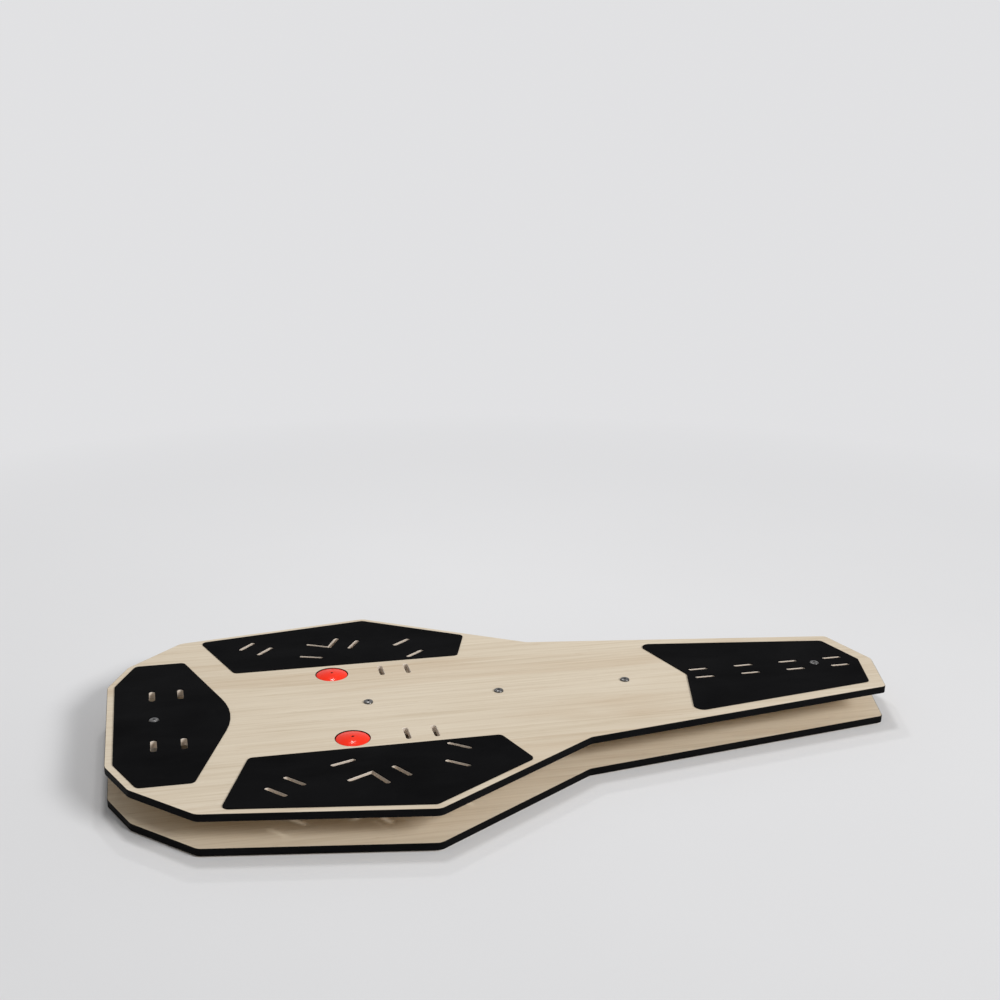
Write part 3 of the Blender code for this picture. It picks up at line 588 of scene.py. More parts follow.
plate = {
    "arris": 0.0008,
    "corner": 0.025,
    "noseCorner": 0.012,
    # the left side from the rear edge to the nose's tip
    "leftSide": [
        (-0.814, 0.178), (-0.772, 0.275), (-0.657, 0.388), (-0.235, 0.453),
        (0.104, 0.2415), (0.774, 0.139), (0.814, 0.0)],
    "ballHole": (-0.347, 0.153, 0.034),
    "ballBorder": 0.011,  # bare wood between a ball's hole and the foot mat
    "boltHole": 0.0043,
    "boltX": [-0.7205, -0.2925, -0.020, 0.2525, 0.6805],
    "nuts": 8,
    "nutFlangeHole": 0.0103,
    "nutFlangeDepth": 0.0018,
    "nutBarrelHole": 0.0058,
    "nutEase": 0.0005,  # of the seat's mouth
}

# slots on the foot mats are given from the rear edge, then from the plate's side or the mat's inner edge
slots = {
    "outerFoot": [(0.302, 0.072, 47.5), (0.339, 0.112, 47.5), (0.536, 0.143, 59.0), (0.643, 0.118, 38.0)],
    "innerFoot": [(0.435, 0.053, -19.0), (0.661, 0.028, 38.0)],
    "footLength": 0.052,
    "footWidth": 0.011,
    "bent": (0.481, 0.139, 0.054, 18.0),  # its corner, the length of each leg and its lean
    "inboardX": [0.573, 0.629],
    "inboardSize": (0.048, 0.010),
    "rearX": [0.091, 0.1485],
    "rearY": 0.1135,
    "rearSize": (0.050, 0.012),
    "frontX": [0.731, 0.6285, 0.526, 0.4235],
    "frontY": 0.020,
    "frontSize": (0.043, 0.010),
}

leftSide = plate["leftSide"]
rearX = leftSide[0][0]
ballX, ballY, ballHoleRadius = plate["ballHole"]
matInnerY = ballY + ballHoleRadius + plate["ballBorder"]


def sideAt(x):
    for (ax, ay), (bx, by) in zip(leftSide, leftSide[1:]):
        if ax <= x <= bx:
            return ay + (by - ay) * (x - ax) / (bx - ax)
    return 0.0


def plateOutline():
    radii = [plate["corner"]] * 5 + [plate["noseCorner"], plate["corner"]]
    return roundCorners(bothSides([(x, y, radius) for (x, y), radius in zip(leftSide, radii)]))


def footSlots(side):
    loops = []
    size = (slots["footLength"], slots["footWidth"])
    for fromRear, fromSide, degrees in slots["outerFoot"]:
        x = rearX + fromRear
        loops.append(straightSlot(x, side * (sideAt(x) - fromSide), side * degrees, *size))
    for fromRear, fromInner, degrees in slots["innerFoot"]:
        y = side * (matInnerY + fromInner)
        loops.append(straightSlot(rearX + fromRear, y, side * degrees, *size))
    fromRear, fromSide, leg, lean = slots["bent"]
    x = rearX + fromRear
    y = sideAt(x) - fromSide
    reach = leg - slots["footWidth"] / 2
    ends = []
    for turn in (-45.0, 45.0):
        angle = radians(90.0 + lean + turn)
        ends.append((x + reach * cos(angle), side * (y + reach * sin(angle))))
    loops.append(slotHole([ends[0], (x, side * y), ends[1]], slots["footWidth"]))
    return loops


def pairedSlots(places, y, degrees, size):
    # straight slots at these X, in pairs left and right of the centreline
    return [straightSlot(x, side * y, degrees, *size) for x in places for side in (-1, 1)]


def paintRims(piece):
    # all but the two faces shows plies, and then the outer rim and the ball holes are painted black
    startEdit(piece)
    pickFaces(piece, lambda middle, normal: abs(normal.z) < faceTilt)
    paintPicked(piece, 2)
    mesh = bmesh.from_edit_mesh(piece.data)
    walls = [face for face in mesh.faces if abs(face.normal.z) < wallTilt]
    starts = [max(walls, key=lambda face: face.calc_center_median().x)]
    for face in walls:
        middle = face.calc_center_median()
        if hypot(middle.x - ballX, abs(middle.y) - ballY) < ballHoleRadius + 2 * edgeSlack:
            starts.append(face)
    bpy.ops.mesh.select_all(action="DESELECT")
    rims, fresh = set(starts), starts
    while fresh:
        face = fresh.pop()
        for edge in face.edges:
            for other in edge.link_faces:
                if other not in rims and abs(other.normal.z) < wallTilt:
                    rims.add(other)
                    fresh.append(other)
    for face in rims:
        face.select_set(True)
    bmesh.update_edit_mesh(piece.data)
    # two rows further, over the eased edges
    bpy.ops.mesh.select_more()
    bpy.ops.mesh.select_more()
    paintPicked(piece, 1)
    endEdit()


def makePlate(name, openings, veneer, rimPaint, plies):
    low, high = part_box(name)
    board = name.replace("_", "") + "Board"
    piece = cutFlat(board, plateOutline(), openings, low.z, high.z, plate["arris"])
    putOn(piece, veneer, rimPaint, plies)
    paintRims(piece)
    return piece


ballHoles = [roundHole(ballX, side * ballY, ballHoleRadius, 120) for side in (-1, 1)]
inboardSlots = pairedSlots([rearX + x for x in slots["inboardX"]], ballY, 90.0, slots["inboardSize"])
rearSlots = pairedSlots([rearX + x for x in slots["rearX"]], slots["rearY"], 90.0, slots["rearSize"])
frontSlots = pairedSlots(slots["frontX"], slots["frontY"], 0.0, slots["frontSize"])
basePlate = makePlate("base_plate", ballHoles, "baseVeneerPaintedLighter", "baseEdge", "basePlies")
baseLow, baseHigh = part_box("base_plate")
seat = baseLow.z + plate["nutFlangeDepth"]
wide, narrow, ease = plate["nutFlangeHole"], plate["nutBarrelHole"], plate["nutEase"]
for number in range(1, plate["nuts"] + 1):
    # each tee nut's seat: wide for its flange, then its barrel's bore right through
    middle = middleOf("housing_tee_nut_%d" % number)
    cutter = turnUp("nutCutter", [
        (wide + ease, baseLow.z - cutPast), (wide + ease, baseLow.z), (wide, baseLow.z + ease),
        (wide, seat), (narrow, seat), (narrow, baseHigh.z + cutPast)], 64)
    putOn(cutter, "basePlies")
    shapeWith(basePlate, moveTo(cutter, middle.x, middle.y, 0.0))
deckOpenings = ballHoles + footSlots(-1) + footSlots(1) + inboardSlots + rearSlots + frontSlots
deckOpenings += [roundHole(x, 0.0, plate["boltHole"], 48) for x in plate["boltX"]]
deckPlate = makePlate("deck_plate", deckOpenings, "deckVeneer", "deckEdge", "deckPlies")

smoothUpTo(basePlate, 20)
smoothUpTo(deckPlate, 20)
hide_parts("base_plate")
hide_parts("deck_plate")
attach(basePlate, "base")
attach(deckPlate, "deck")
print("plates cut")


# Anti-slip mats

mats = {
    "arris": 0.0005,
    "corner": 0.012,
    "rearBorder": 0.015,
    "frontBorder": 0.030,
    "rake": 19.0,  # degrees from square, of the edges round the bare band
    "rearWidth": 0.548,
    "rearShoulder": 0.1615,
    "rearNoseRadius": 0.220,
    "bareBand": 0.072,
    "footFront": 0.750,
    "frontRake": 16.0,
    "frontNotch": 0.390,
    "frontRearCorner": 0.018,
    "boltOpening": 0.0104,
}


def insetSide(index, distance):
    # a line inside one of the left side's edges, as a point and a direction
    (ax, ay), (bx, by) = leftSide[index:index + 2]
    length = hypot(bx - ax, by - ay)
    dx, dy = (bx - ax) / length, (by - ay) / length
    return (ax + dy * distance, ay - dx * distance), (dx, dy)


def meeting(first, second):
    # where two such lines cross
    (px, py), (ux, uy) = first
    (qx, qy), (vx, vy) = second
    t = ((qx - px) * vy - (qy - py) * vx) / (ux * vy - uy * vx)
    return px + t * ux, py + t * uy


rake = radians(mats["rake"])
noseX = rearX + mats["rearShoulder"] + mats["rearWidth"] / 2 * tan(rake)


def rearMatOutline():
    sideLine = ((0.0, mats["rearWidth"] / 2), (1.0, 0.0))
    rearSide = insetSide(0, mats["rearBorder"])
    corners = [
        meeting(rearSide, ((rearX + mats["rearBorder"], 0.0), (0.0, 1.0))),
        meeting(rearSide, sideLine),
        (rearX + mats["rearShoulder"], mats["rearWidth"] / 2)]
    left = [(x, y, mats["corner"]) for x, y in corners]
    return roundCorners(bothSides(left + [(noseX, 0.0, mats["rearNoseRadius"])]))


def footMatOutline(side):
    inner = ((0.0, matInnerY), (1.0, 0.0))
    rear = ((noseX + mats["bareBand"] / cos(rake), 0.0), (-sin(rake), cos(rake)))
    front = ((rearX + mats["footFront"], matInnerY), (sin(rake), cos(rake)))
    outerRear, outerFront = insetSide(2, mats["rearBorder"]), insetSide(3, mats["rearBorder"])
    corners = [
        meeting(inner, rear), meeting(rear, outerRear), meeting(outerRear, outerFront),
        meeting(outerFront, front), meeting(front, inner)]
    return roundCorners([(x, side * y, mats["corner"]) for x, y in corners])


def frontMatOutline():
    lean = radians(mats["frontRake"])
    rear = ((mats["frontNotch"], 0.0), (-sin(lean), cos(lean)))
    outer, nose = insetSide(4, mats["frontBorder"]), insetSide(5, mats["frontBorder"])
    left = [
        (mats["frontNotch"], 0.0, mats["corner"]),
        (*meeting(rear, outer), mats["frontRearCorner"]),
        (*meeting(outer, nose), mats["corner"]),
        (*meeting(nose, ((0.0, 0.0), (1.0, 0.0))), mats["corner"])]
    return roundCorners(bothSides(left))


rearBolt, frontBolt = [roundHole(plate["boltX"][k], 0.0, mats["boltOpening"]) for k in (0, -1)]
matLoops = {
    "rear_mat": (rearMatOutline(), rearSlots + [rearBolt]),
    "foot_mat_left": (footMatOutline(1), footSlots(1)),
    "foot_mat_right": (footMatOutline(-1), footSlots(-1)),
    "front_mat": (frontMatOutline(), frontSlots + [frontBolt]),
}
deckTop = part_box("deck_plate")[1].z
for node, (outline, openings) in matLoops.items():
    low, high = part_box(node)
    name = node.title().replace("_", "") + "Rubber"
    mat = cutFlat(name, outline, openings, deckTop + seatGap, high.z, mats["arris"])
    putOn(mat, "matRubber")
    smoothUpTo(mat, 20)
    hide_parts(node)
    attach(mat, "deck")
print("mats laid")


# Inflated balls

ball = {
    "girth": 0.104,
    "capRise": 0.0056,  # from where the cap would meet the hole's wall up to the pole
    "shoulder": 0.003,  # radius between the neck in the hole and the cap
    "rimHeight": 0.0262,  # of the plates' rims over and under the waist
    "clearance": 0.0003,
    "sides": 128,
    "bulgeSteps": 18,
    "shoulderSteps": 6,
    "capSteps": 12,
    "seam": 0.0005,
    "valveLip": 0.0036,
    "valveRubber": 0.0028,  # radius of the darker rubber in it
    # the valve's rings from its lip in, as (radius, depth)
    "valve": [(0.0032, 0.0004), (0.0027, 0.0005), (0.0021, 0.0008), (0.0019, 0.0030), (0.0008, 0.0034)],
}


def halfBall(reach):
    # rings from just over the waist to the pole's lip, as (radius, height over the waist)
    rim = ballHoleRadius - ball["clearance"]
    waist = ball["girth"] / 2
    rimHeight = ball["rimHeight"]
    arcMiddle = (waist**2 - rim**2 - rimHeight**2) / (2 * (waist - rim))
    arc = waist - arcMiddle
    sweep = atan2(rimHeight, rim - arcMiddle)
    rings = [(waist - ball["seam"], ball["seam"])]
    for step in range(1, ball["bulgeSteps"] + 1):
        share = step / ball["bulgeSteps"]
        rings.append((
            arcMiddle + arc * cos(sweep * share) - ball["seam"] * (1 - share),
            arc * sin(sweep * share)))
    cap = (rim**2 + ball["capRise"]**2) / (2 * ball["capRise"])
    capMiddle = reach - cap
    fillet = ball["shoulder"]
    filletRadius = rim - fillet
    filletHeight = capMiddle + sqrt((cap - fillet)**2 - filletRadius**2)
    toCap = atan2(filletHeight - capMiddle, filletRadius)
    for step in range(ball["shoulderSteps"] + 1):
        angle = toCap * step / ball["shoulderSteps"]
        rings.append(onArc(filletRadius, filletHeight, fillet, angle))
    outer = rings[-1][0]
    for step in range(1, ball["capSteps"] + 1):
        radius = outer + (ball["valveLip"] - outer) * step / ball["capSteps"]
        rings.append((radius, capMiddle + sqrt(cap**2 - radius**2)))
    return rings


def inflate(node, side):
    # a ball squashed between the plates, its waist at the roll axis, with a moulded seam and a valve
    low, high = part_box(node)
    upper = halfBall(high.z - axisHeight)
    lower = halfBall(axisHeight - low.z)
    lipHeight = upper[-1][1]
    valve = [(radius, lipHeight - depth) for radius, depth in ball["valve"]]
    rings = [(radius, -up) for radius, up in reversed(lower)] + [(ball["girth"] / 2, 0.0)] + upper + valve
    piece = turnUp(node.title().replace("_", "") + "Inflated", rings, ball["sides"])
    putOn(piece, "ballRubber", "valveRubber")
    startEdit(piece)
    pickFaces(piece, lambda at, normal: hypot(at.x, at.y) < ball["valveRubber"] and at.z > 0)
    paintPicked(piece, 1)
    endEdit()
    moveTo(piece, ballX, side * ballY, axisHeight)
    smoothUpTo(piece, 40)
    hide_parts(node)
    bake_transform(piece)


axisHeight = middleOf("pivot_shaft").z
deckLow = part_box("deck_plate")[0]
inflate("ball_left", 1)
inflate("ball_right", -1)
print("balls in")


# The shaft and the blocks that hold it under the deck

shaft = {
    "radius": 0.0125,
    "bore": 0.0095,
    "chamfer": 0.0009,
    "boltHole": 0.0043,
}
shaftLow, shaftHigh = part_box("pivot_shaft")


def boltDrill(bottom, top, flare=0.0):
    # an upright drill for the deck's bolts, which can ease the lower mouth
    hole = shaft["boltHole"]
    rings = [(hole, bottom), (hole, top)]
    if flare:
        rings = [
            (hole + flare, bottom - cutPast), (hole + flare, bottom), (hole, bottom + flare), (hole, top)]
    return turnUp("boltDrill", rings, 32)


half = (shaftHigh.x - shaftLow.x) / 2
radius, bore, chamfer = shaft["radius"], shaft["bore"], shaft["chamfer"]
tube = turnUp("PivotShaftTube", [
    (radius - chamfer, -half), (radius, -half + chamfer), (radius, half - chamfer), (radius - chamfer, half),
    (bore + chamfer / 2, half), (bore, half - chamfer / 2), (bore, -half + chamfer / 2),
    (bore + chamfer / 2, -half)], cap=False)
putOn(tube, "groundSteel")
layAlongX(tube)
moveTo(tube, (shaftLow.x + shaftHigh.x) / 2, 0.0, axisHeight)
for x in plate["boltX"]:
    drill = boltDrill(axisHeight - 2 * radius, axisHeight + 2 * radius)
    shapeWith(tube, moveTo(drill, x, 0.0, 0.0))
smoothUpTo(tube, 30)
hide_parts("pivot_shaft")
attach(tube, "deck")

block = {
    "bore": 0.0128,
    "corner": 0.0022,
    "arris": 0.0006,
    "flare": 0.0008,  # of the bolt hole's lower mouth
}
blockLow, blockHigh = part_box("shaft_block_3")
blockTop = deckLow.z - seatGap
halfWidth, halfLength = (blockHigh.y - blockLow.y) / 2, (blockHigh.x - blockLow.x) / 2
# drawn with its height along -X, which layAlongX turns upwards
section = [
    (-blockLow.z, -halfWidth, block["corner"]), (-blockLow.z, halfWidth, block["corner"]),
    (-blockTop, halfWidth, block["corner"]), (-blockTop, -halfWidth, block["corner"])]
pattern = cutFlat(
    "shaftBlock", roundCorners(section), [roundHole(-axisHeight, 0.0, block["bore"], 96)],
    -halfLength, halfLength, block["arris"])
putOn(pattern, "blockAluminium")
layAlongX(pattern)
shapeWith(pattern, boltDrill(blockLow.z, blockTop + cutPast, block["flare"]))
smoothUpTo(pattern, 30)
for number in range(1, len(plate["boltX"]) + 1):
    node = "shaft_block_%d" % number
    piece = copyTo(pattern, "ShaftBlock%d" % number, (middleOf(node).x, 0.0, 0.0))
    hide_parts(node)
    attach(piece, "deck")
discard(pattern)
print("shaft and blocks in")


# The deck's bolts, each on its washer

deckBolt = {
    "shank": 0.004,
    "head": 0.0095,
    "rim": 0.0005,  # the head's straight side, under its dome
    "crown": 0.0040,  # radius of the flat round the socket
    "domeSteps": 10,
    "socket": 0.0025,  # half across its flats
    "socketDepth": 0.0022,
    "socketTip": (0.0003, 0.0007),  # the radius and depth of the drilled point in its floor
    "socketMouth": 0.0005,
    "point": 0.0011,
    "neck": (0.0003, 0.0004),  # the fillet under the head, across and down
    "ease": 0.0002,
    "washerHole": 0.0043,
}
boltLow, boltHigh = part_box("deck_bolt_3")
washerLow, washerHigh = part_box("deck_washer_3")
ease = deckBolt["ease"]
washerTop = washerHigh.z + ease
underHead = washerTop + seatGap
head, shank, crown, point = deckBolt["head"], deckBolt["shank"], deckBolt["crown"], deckBolt["point"]
across, down = deckBolt["neck"]
rings = [
    (shank - point, boltLow.z), (shank, boltLow.z + point), (shank, underHead - down),
    (shank + across, underHead), (head - ease, underHead), (head, underHead + ease)]
domeFoot = underHead + deckBolt["rim"]
for step in range(deckBolt["domeSteps"] + 1):
    angle = pi / 2 * step / deckBolt["domeSteps"]
    height = domeFoot + (boltHigh.z - domeFoot) * sin(angle)
    rings.append((crown + (head - crown) * cos(angle), height))
pattern = turnUp("deckBolt", rings)
putOn(pattern, "darkSteel")
reach = deckBolt["socket"] / cos(pi / 6)
socketFloor = boltHigh.z - deckBolt["socketDepth"]
(tip, down), mouth = deckBolt["socketTip"], deckBolt["socketMouth"]
socket = turnUp("hexKey", [
    (tip, socketFloor - down), (reach, socketFloor), (reach, boltHigh.z + ease - mouth),
    (reach + mouth, boltHigh.z + ease), (reach + mouth, boltHigh.z + cutPast)], 6)
putOn(socket, "darkSteel")
shapeWith(pattern, socket)
smoothUpTo(pattern, 28)

hole = deckBolt["washerHole"]
rim = (washerHigh.x - washerLow.x) / 2
washerSeat = deckTop + seatGap
ring = turnUp("deckWasher", [
    (hole, washerSeat + ease), (hole + ease, washerSeat), (rim - ease, washerSeat),
    (rim, washerSeat + ease), (rim, washerTop - 2 * ease), (rim - ease, washerTop - ease / 2),
    (rim - 2.5 * ease, washerTop), (hole + ease, washerTop), (hole, washerTop - ease)], cap=False)
putOn(ring, "darkSteel")
smoothUpTo(ring, 30)
for number, x in enumerate(plate["boltX"], 1):
    for shape, name, node in ((pattern, "DeckBolt", "deck_bolt"), (ring, "DeckWasher", "deck_washer")):
        piece = copyTo(shape, "%s%d" % (name, number), (x, 0.0, 0.0))
        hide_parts("%s_%d" % (node, number))
        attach(piece, "deck")
discard(pattern, ring)
print("deck bolts in")


# Pivot housings with their bushes

housing = {
    "shell": 0.0235,  # radius of the arch over the bush
    "archCorner": 0.02349,  # a hair less, so that its two halves don't cross
    "shellBore": 0.018,
    "bore": 0.0161,
    "hub": 0.0206,  # radius of the machined face round the bush
    "hubProud": 0.0005,
    "hubEase": 0.0003,
    "bossRadius": 0.011,
    "bossProud": 0.0010,
    "bossFoot": 0.002,  # over the base, inside the flange
    "bossEase": 0.0004,
    "flangeTop": 0.0303,
    "fillet": 0.0045,
    "toeRadius": 0.0035,
    "arris": 0.0010,
    "boltY": 0.045,
    "boltHole": 0.0043,
    "footCorner": 0.001,
    "count": 4,
}
housingLow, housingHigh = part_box("pivot_housing_3")
halfLength, halfWidth = (housingHigh.x - housingLow.x) / 2, (housingHigh.y - housingLow.y) / 2
shell, footTop = housing["shell"], housing["flangeTop"] - housing["bossProud"]

left = [
    (-housingHigh.z, -shell, housing["archCorner"]), (-footTop, -shell, housing["fillet"]),
    (-footTop, -halfWidth, housing["toeRadius"]), (-baseHigh.z - seatGap, -halfWidth, housing["footCorner"])]
bodyLength = halfLength - housing["hubProud"]
casting = cutFlat(
    "pivotHousing", roundCorners(bothSides(left)), [roundHole(-axisHeight, 0.0, housing["shellBore"], 96)],
    -bodyLength, bodyLength, housing["arris"])
putOn(casting, "castPaint", "machinedIron")
layAlongX(casting)
bore, radius, ease, reach = housing["bore"], housing["hub"], housing["hubEase"], halfLength
hub = turnUp("hub", [
    (bore, -reach + ease), (bore + ease, -reach), (radius - ease, -reach), (radius, -reach + ease),
    (radius, reach - ease), (radius - ease, reach), (bore + ease, reach), (bore, reach - ease)], cap=False)
putOn(hub, "machinedIron")
layAlongX(hub)
shapeWith(casting, moveTo(hub, 0.0, 0.0, axisHeight), "UNION")
bossTop, bossRadius, hole = housing["flangeTop"], housing["bossRadius"], housing["boltHole"]
bossFoot, ease = baseHigh.z + housing["bossFoot"], housing["bossEase"]
for y in (-housing["boltY"], housing["boltY"]):
    boss = turnUp("boss", [
        (bossRadius, bossFoot), (bossRadius, bossTop - ease), (bossRadius - ease, bossTop)], 72)
    putOn(boss, "castPaint")
    shapeWith(casting, moveTo(boss, 0.0, y, 0.0), "UNION")
    drill = turnUp("drill", [(hole, baseHigh.z - cutPast), (hole, bossTop + cutPast)], 48)
    putOn(drill, "machinedIron")
    shapeWith(casting, moveTo(drill, 0.0, y, 0.0))
startEdit(casting)
pickFaces(casting, lambda middle, normal: normal.z > faceTilt and abs(middle.z - bossTop) < weldFlat)
paintPicked(casting, 1)
endEdit()
smoothUpTo(casting, 32)
for number in range(1, housing["count"] + 1):
    node = "pivot_housing_%d" % number
    piece = copyTo(casting, "PivotHousing%d" % number, (middleOf(node).x, 0.0, 0.0))
    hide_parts(node)
    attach(piece, "base")
discard(casting)

bush = {
    "bore": 0.0128,
    "wall": 0.0030,
    "rim": 0.0188,
    "rimThickness": 0.0020,
    "ease": 0.0003,
}
bushLow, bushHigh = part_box("pivot_bush_3")
ease, outer = bush["ease"], bush["bore"] + bush["wall"]
rimFace = bushHigh.x - bush["rimThickness"]
bore, rim = bush["bore"], bush["rim"]
pattern = turnUp("pivotBush", [
    (bore, bushLow.x + ease), (bore + ease, bushLow.x), (outer - 2 * ease, bushLow.x),
    (outer, bushLow.x + 4 * ease), (outer, rimFace), (rim - ease, rimFace), (rim, rimFace + ease),
    (rim, bushHigh.x - ease), (rim - ease, bushHigh.x), (bore + 2 * ease, bushHigh.x),
    (bore, bushHigh.x - 2 * ease)], cap=False)
putOn(pattern, "bushBronze")
layAlongX(pattern)
housingX = middleOf("pivot_housing_3").x
moveTo(pattern, -housingX, 0.0, axisHeight)
smoothUpTo(pattern, 30)
for number in range(1, housing["count"] + 1):
    # the rims face away from the pivot's middle
    x = middleOf("pivot_housing_%d" % number).x
    piece = copyTo(pattern, "PivotBush%d" % number, (x, 0.0, 0.0), 0.0 if x > 0 else pi)
    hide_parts("pivot_bush_%d" % number)
    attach(piece, "base")
discard(pattern)
print("housings and bushes in")


# The housings' flanged bolts and the tee nuts under the base

hexBolt = {
    "shank": 0.004,
    "flange": 0.0085,
    "flangeEdge": 0.0006,
    "cone": 0.0071,  # radius where the flange's cone meets the hexagon
    "coneRise": 0.0020,
    "flats": 0.0065,  # half across the flats
    # the crown's chamfer falls from this radius by the drop, to its foot out past the corners
    "crownRadius": 0.0061,
    "crownDrop": 0.0016,
    "crownFoot": 0.0090,
    "dishRadius": 0.0042,
    "dishDepth": 0.0004,
    "point": 0.0012,
    "neck": 0.0003,
    "ease": 0.0002,
    "arris": 0.00015,
}
boltLow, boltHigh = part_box("housing_bolt_5")
underHead = housing["flangeTop"] + seatGap
shank, flange, point = hexBolt["shank"], hexBolt["flange"], hexBolt["point"]
neck, ease, edgeTop = hexBolt["neck"], hexBolt["ease"], underHead + hexBolt["flangeEdge"]
pattern = turnUp("housingBolt", [
    (shank - point, boltLow.z), (shank, boltLow.z + point), (shank, underHead - neck),
    (shank + neck, underHead), (flange - ease, underHead), (flange, underHead + ease),
    (flange, edgeTop), (hexBolt["cone"], underHead + hexBolt["coneRise"])])
putOn(pattern, "zincSteel")
reach = hexBolt["flats"] / cos(pi / 6)
hexagon = turnUp("hexagon", [(reach, edgeTop), (reach, boltHigh.z)], 6)
putOn(hexagon, "zincSteel")
foot = hexBolt["crownFoot"]
crown = turnUp("crown", [
    (foot, underHead), (foot, boltHigh.z - hexBolt["crownDrop"]), (hexBolt["crownRadius"], boltHigh.z)])
putOn(crown, "zincSteel")
shapeWith(hexagon, crown, "INTERSECT")
shapeWith(pattern, hexagon, "UNION")
dishRadius, dishDepth = hexBolt["dishRadius"], hexBolt["dishDepth"]
dish = turnUp("dish", [
    (dishRadius - 1.5 * dishDepth, boltHigh.z - dishDepth), (dishRadius, boltHigh.z),
    (dishRadius + 1.5 * dishDepth, boltHigh.z + dishDepth)], 72)
putOn(dish, "zincSteel")
shapeWith(pattern, dish)
easeEdges(pattern, hexBolt["arris"], 50.0)
smoothUpTo(pattern, 28)

teeNut = {
    "flange": 0.0100,
    "thickness": 0.0015,
    "barrel": 0.0055,
    "hole": 0.0043,
    "notch": (0.0032, 0.0024, 0.004),  # into the flange, along its rim and up
    "notchTurn": 0.4,
    "mouth": 0.0008,
    "fillet": 0.0005,
    "tip": 0.0004,
    "ease": 0.0003,
}
nutLow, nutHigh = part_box("housing_tee_nut_5")
hole, barrel, flange, ease = teeNut["hole"], teeNut["barrel"], teeNut["flange"], teeNut["ease"]
nutSeat = nutLow.z + teeNut["thickness"]
mouth, fillet, tip = teeNut["mouth"], teeNut["fillet"], teeNut["tip"]
nut = turnUp("teeNut", [
    (hole, nutLow.z + mouth), (hole + mouth, nutLow.z), (flange - ease, nutLow.z),
    (flange, nutLow.z + ease), (flange, nutSeat - ease), (flange - ease, nutSeat),
    (barrel + fillet, nutSeat), (barrel, nutSeat + fillet), (barrel, nutHigh.z - tip),
    (barrel - tip, nutHigh.z), (hole + ease, nutHigh.z), (hole, nutHigh.z - ease)], cap=False)
putOn(nut, "zincSteel")
for k in range(3):
    # the gaps that its prongs were stamped from
    angle = 2 * pi * k / 3 + teeNut["notchTurn"]
    place = (*onArc(0.0, 0.0, flange, angle), nutLow.z)
    letGo()
    bpy.ops.mesh.primitive_cube_add(size=1.0, location=place, rotation=(0.0, 0.0, angle))
    notch = bpy.context.object
    notch.scale = teeNut["notch"]
    settle(notch)
    putOn(notch, "zincSteel")
    shapeWith(nut, notch)
smoothUpTo(nut, 28)
kinds = ((pattern, "HousingBolt", "housing_bolt"), (nut, "HousingTeeNut", "housing_tee_nut"))
for number in range(1, plate["nuts"] + 1):
    # each bolt's hexagon was left at its own angle
    place = middleOf("housing_bolt_%d" % number)
    turn = radians(number * 37.0 % 60.0)
    for shape, name, node in kinds:
        piece = copyTo(shape, "%s%d" % (name, number), (place.x, place.y, 0.0), turn)
        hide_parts("%s_%d" % (node, number))
        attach(piece, "base")
discard(pattern, nut)
print("housing bolts and tee nuts in")


# Rubber pads under the base

pad = {
    "radius": 0.020,
    "dimple": (0.0036, 0.0010),
    "groove": 0.0006,
    "slope": 0.0003,
    "raised": [(0.0045, 0.0090), (0.0110, 0.0146), (0.0166, 0.0192)],  # the rings between the grooves
    "footEase": 0.0008,
    "topEase": (0.0004, 0.0005),
    "count": 8,
}
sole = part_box("base_pad_1")[0].z
radius, slope, grooveTop = pad["radius"], pad["slope"], sole + pad["groove"]
rings = [(pad["dimple"][0], sole + pad["dimple"][1])]
for inner, outer in pad["raised"]:
    rings += [(inner - slope, grooveTop), (inner, sole), (outer, sole), (outer + slope, grooveTop)]
across, up = pad["topEase"]
rings = rings[:-1] + [
    (radius, sole + pad["footEase"]), (radius, baseLow.z - up), (radius - across, baseLow.z - seatGap)]
pattern = turnUp("basePad", rings)
putOn(pattern, "padRubber")
smoothUpTo(pattern, 30)
for number in range(1, pad["count"] + 1):
    place = middleOf("base_pad_%d" % number)
    piece = copyTo(pattern, "BasePad%d" % number, (place.x, place.y, 0.0))
    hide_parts("base_pad_%d" % number)
    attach(piece, "base")
discard(pattern)
print("pads in")


# Floor, lamps and camera

studio = {
    "floorSize": 60.0,
    "floorColor": (0.77, 0.77, 0.78),
    "mottle": 0.985,
    "backdrop": (0.755, 0.755, 0.768),
    "fade": (1.1, 2.8),  # how far out the floor starts to fade, and is gone
    "worldStrength": 0.31,
    "lampAim": (0.0, 0.0, 0.05),
    # each lamp's place, power and size
    "keyLamp": ((-0.35, 1.28, 4.3), 44.0, (0.60, 0.60)),
    "frontLamp": ((7.9, -8.6, 7.6), 1400.0, (5.8, 3.6)),
    "backLamp": ((-0.08, 1.80, 2.52), 9.0, (0.24, 0.16)),
}


def raysOf(tree, *kinds):
    # 1 for rays of these kinds and 0 for all others
    path = addNode(tree, "LightPath")
    seen = path.outputs[kinds[0]]
    for kind in kinds[1:]:
        seen = sums(tree, "MAXIMUM", seen, path.outputs[kind])
    return seen


letGo()
bpy.ops.mesh.primitive_circle_add(vertices=96, radius=studio["floorSize"] / 2, fill_type="NGON")
floor = bpy.context.object
floor.name = "StudioFloor"
finishes["studioFloor"], tree, shader = newFinish("studioFloor")
mottle = noise(tree, (1.5, 1.5, 1.5))
dusty = tuple(c * studio["mottle"] for c in studio["floorColor"])
dress(tree, shader, {
    "Base Color": ramp(tree, mottle, [(0.3, dusty), (0.7, studio["floorColor"])]),
    "Roughness": 0.9,
    "Specular IOR Level": 0.2})
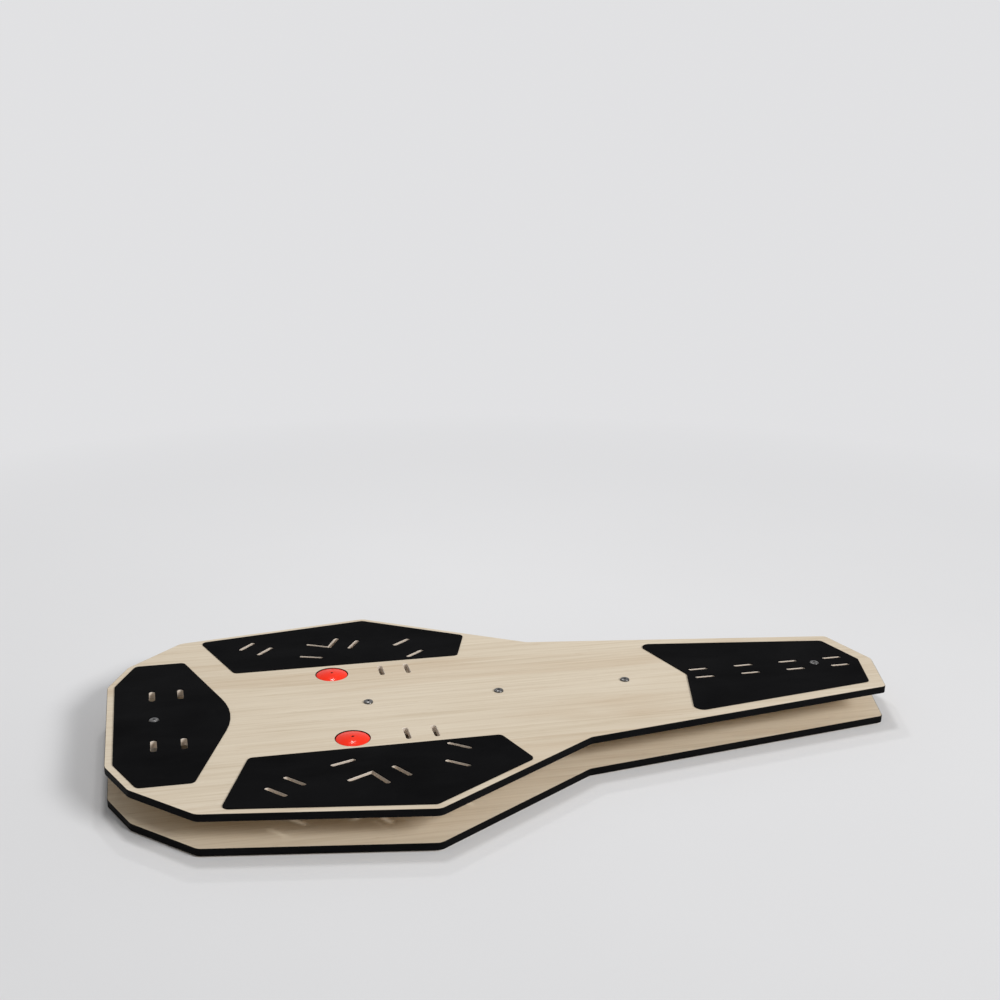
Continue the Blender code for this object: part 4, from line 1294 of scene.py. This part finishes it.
# far from the object the floor fades into the backdrop's tone, for the camera and for gloss alone
glow = addNode(tree, "Emission", {"Color": studio["backdrop"], "Strength": 1.0})
away = addNode(tree, "VectorMath", operation="LENGTH")
feed(tree, away.inputs[0], ownPlace(tree))
fade = fitRange(tree, away.outputs["Value"], *studio["fade"], 0.0, 1.0)
share = sums(tree, "MULTIPLY", fade, raysOf(tree, "Is Camera Ray", "Is Glossy Ray"))
faded = mixShaders(tree, share, shader.outputs["BSDF"], glow.outputs["Emission"])
feed(tree, tree.nodes["Material Output"].inputs["Surface"], faded)
putOn(floor, "studioFloor")

world = bpy.data.worlds.new("studioSky")
bpy.context.scene.world = world
world.use_nodes = True
tree = world.node_tree
tree.nodes.clear()
sky = addNode(tree, "Background", {"Color": (1.0, 1.0, 1.0), "Strength": studio["worldStrength"]})
backdrop = addNode(tree, "Background", {"Color": studio["backdrop"], "Strength": 1.0})
seen = raysOf(tree, "Is Camera Ray", "Is Glossy Ray", "Is Transmission Ray")
mixed = mixShaders(tree, seen, sky.outputs["Background"], backdrop.outputs["Background"])
addNode(tree, "OutputWorld", {"Surface": mixed})

for name in ("keyLamp", "frontLamp", "backLamp"):
    place, power, size = studio[name]
    light = bpy.data.lights.new(name, "AREA")
    light.shape = "RECTANGLE"
    light.size, light.size_y = size
    light.energy = power
    lamp = newPiece(name, light)
    lamp.location = place
    aim = Vector(studio["lampAim"]) - Vector(place)
    lamp.rotation_euler = aim.to_track_quat("-Z", "Y").to_euler()

view = {
    "place": (-0.6754, -2.5519, 1.2972),
    "turn": 11.177,  # to the right of +Y
    "fall": 19.376,  # under the horizon
    "roll": -0.193,
    "lens": 50.24,
    "sensor": 36.0,
    "shift": (0.0735, 0.0606),
    "clip": (0.05, 200.0),
}
camera = newPiece("photoCamera", bpy.data.cameras.new("photoCamera"))
matrix = Matrix.Translation(view["place"])
for degrees, axis in ((-view["turn"], "Z"), (90.0 - view["fall"], "X"), (view["roll"], "Z")):
    matrix = matrix @ Matrix.Rotation(radians(degrees), 4, axis)
camera.matrix_world = matrix
camera.data.lens = view["lens"]
camera.data.sensor_width = view["sensor"]
camera.data.shift_x, camera.data.shift_y = view["shift"]
camera.data.clip_start, camera.data.clip_end = view["clip"]
bpy.context.scene.camera = camera
bpy.context.scene.view_settings.view_transform = "Standard"
print("studio set")

letGo()
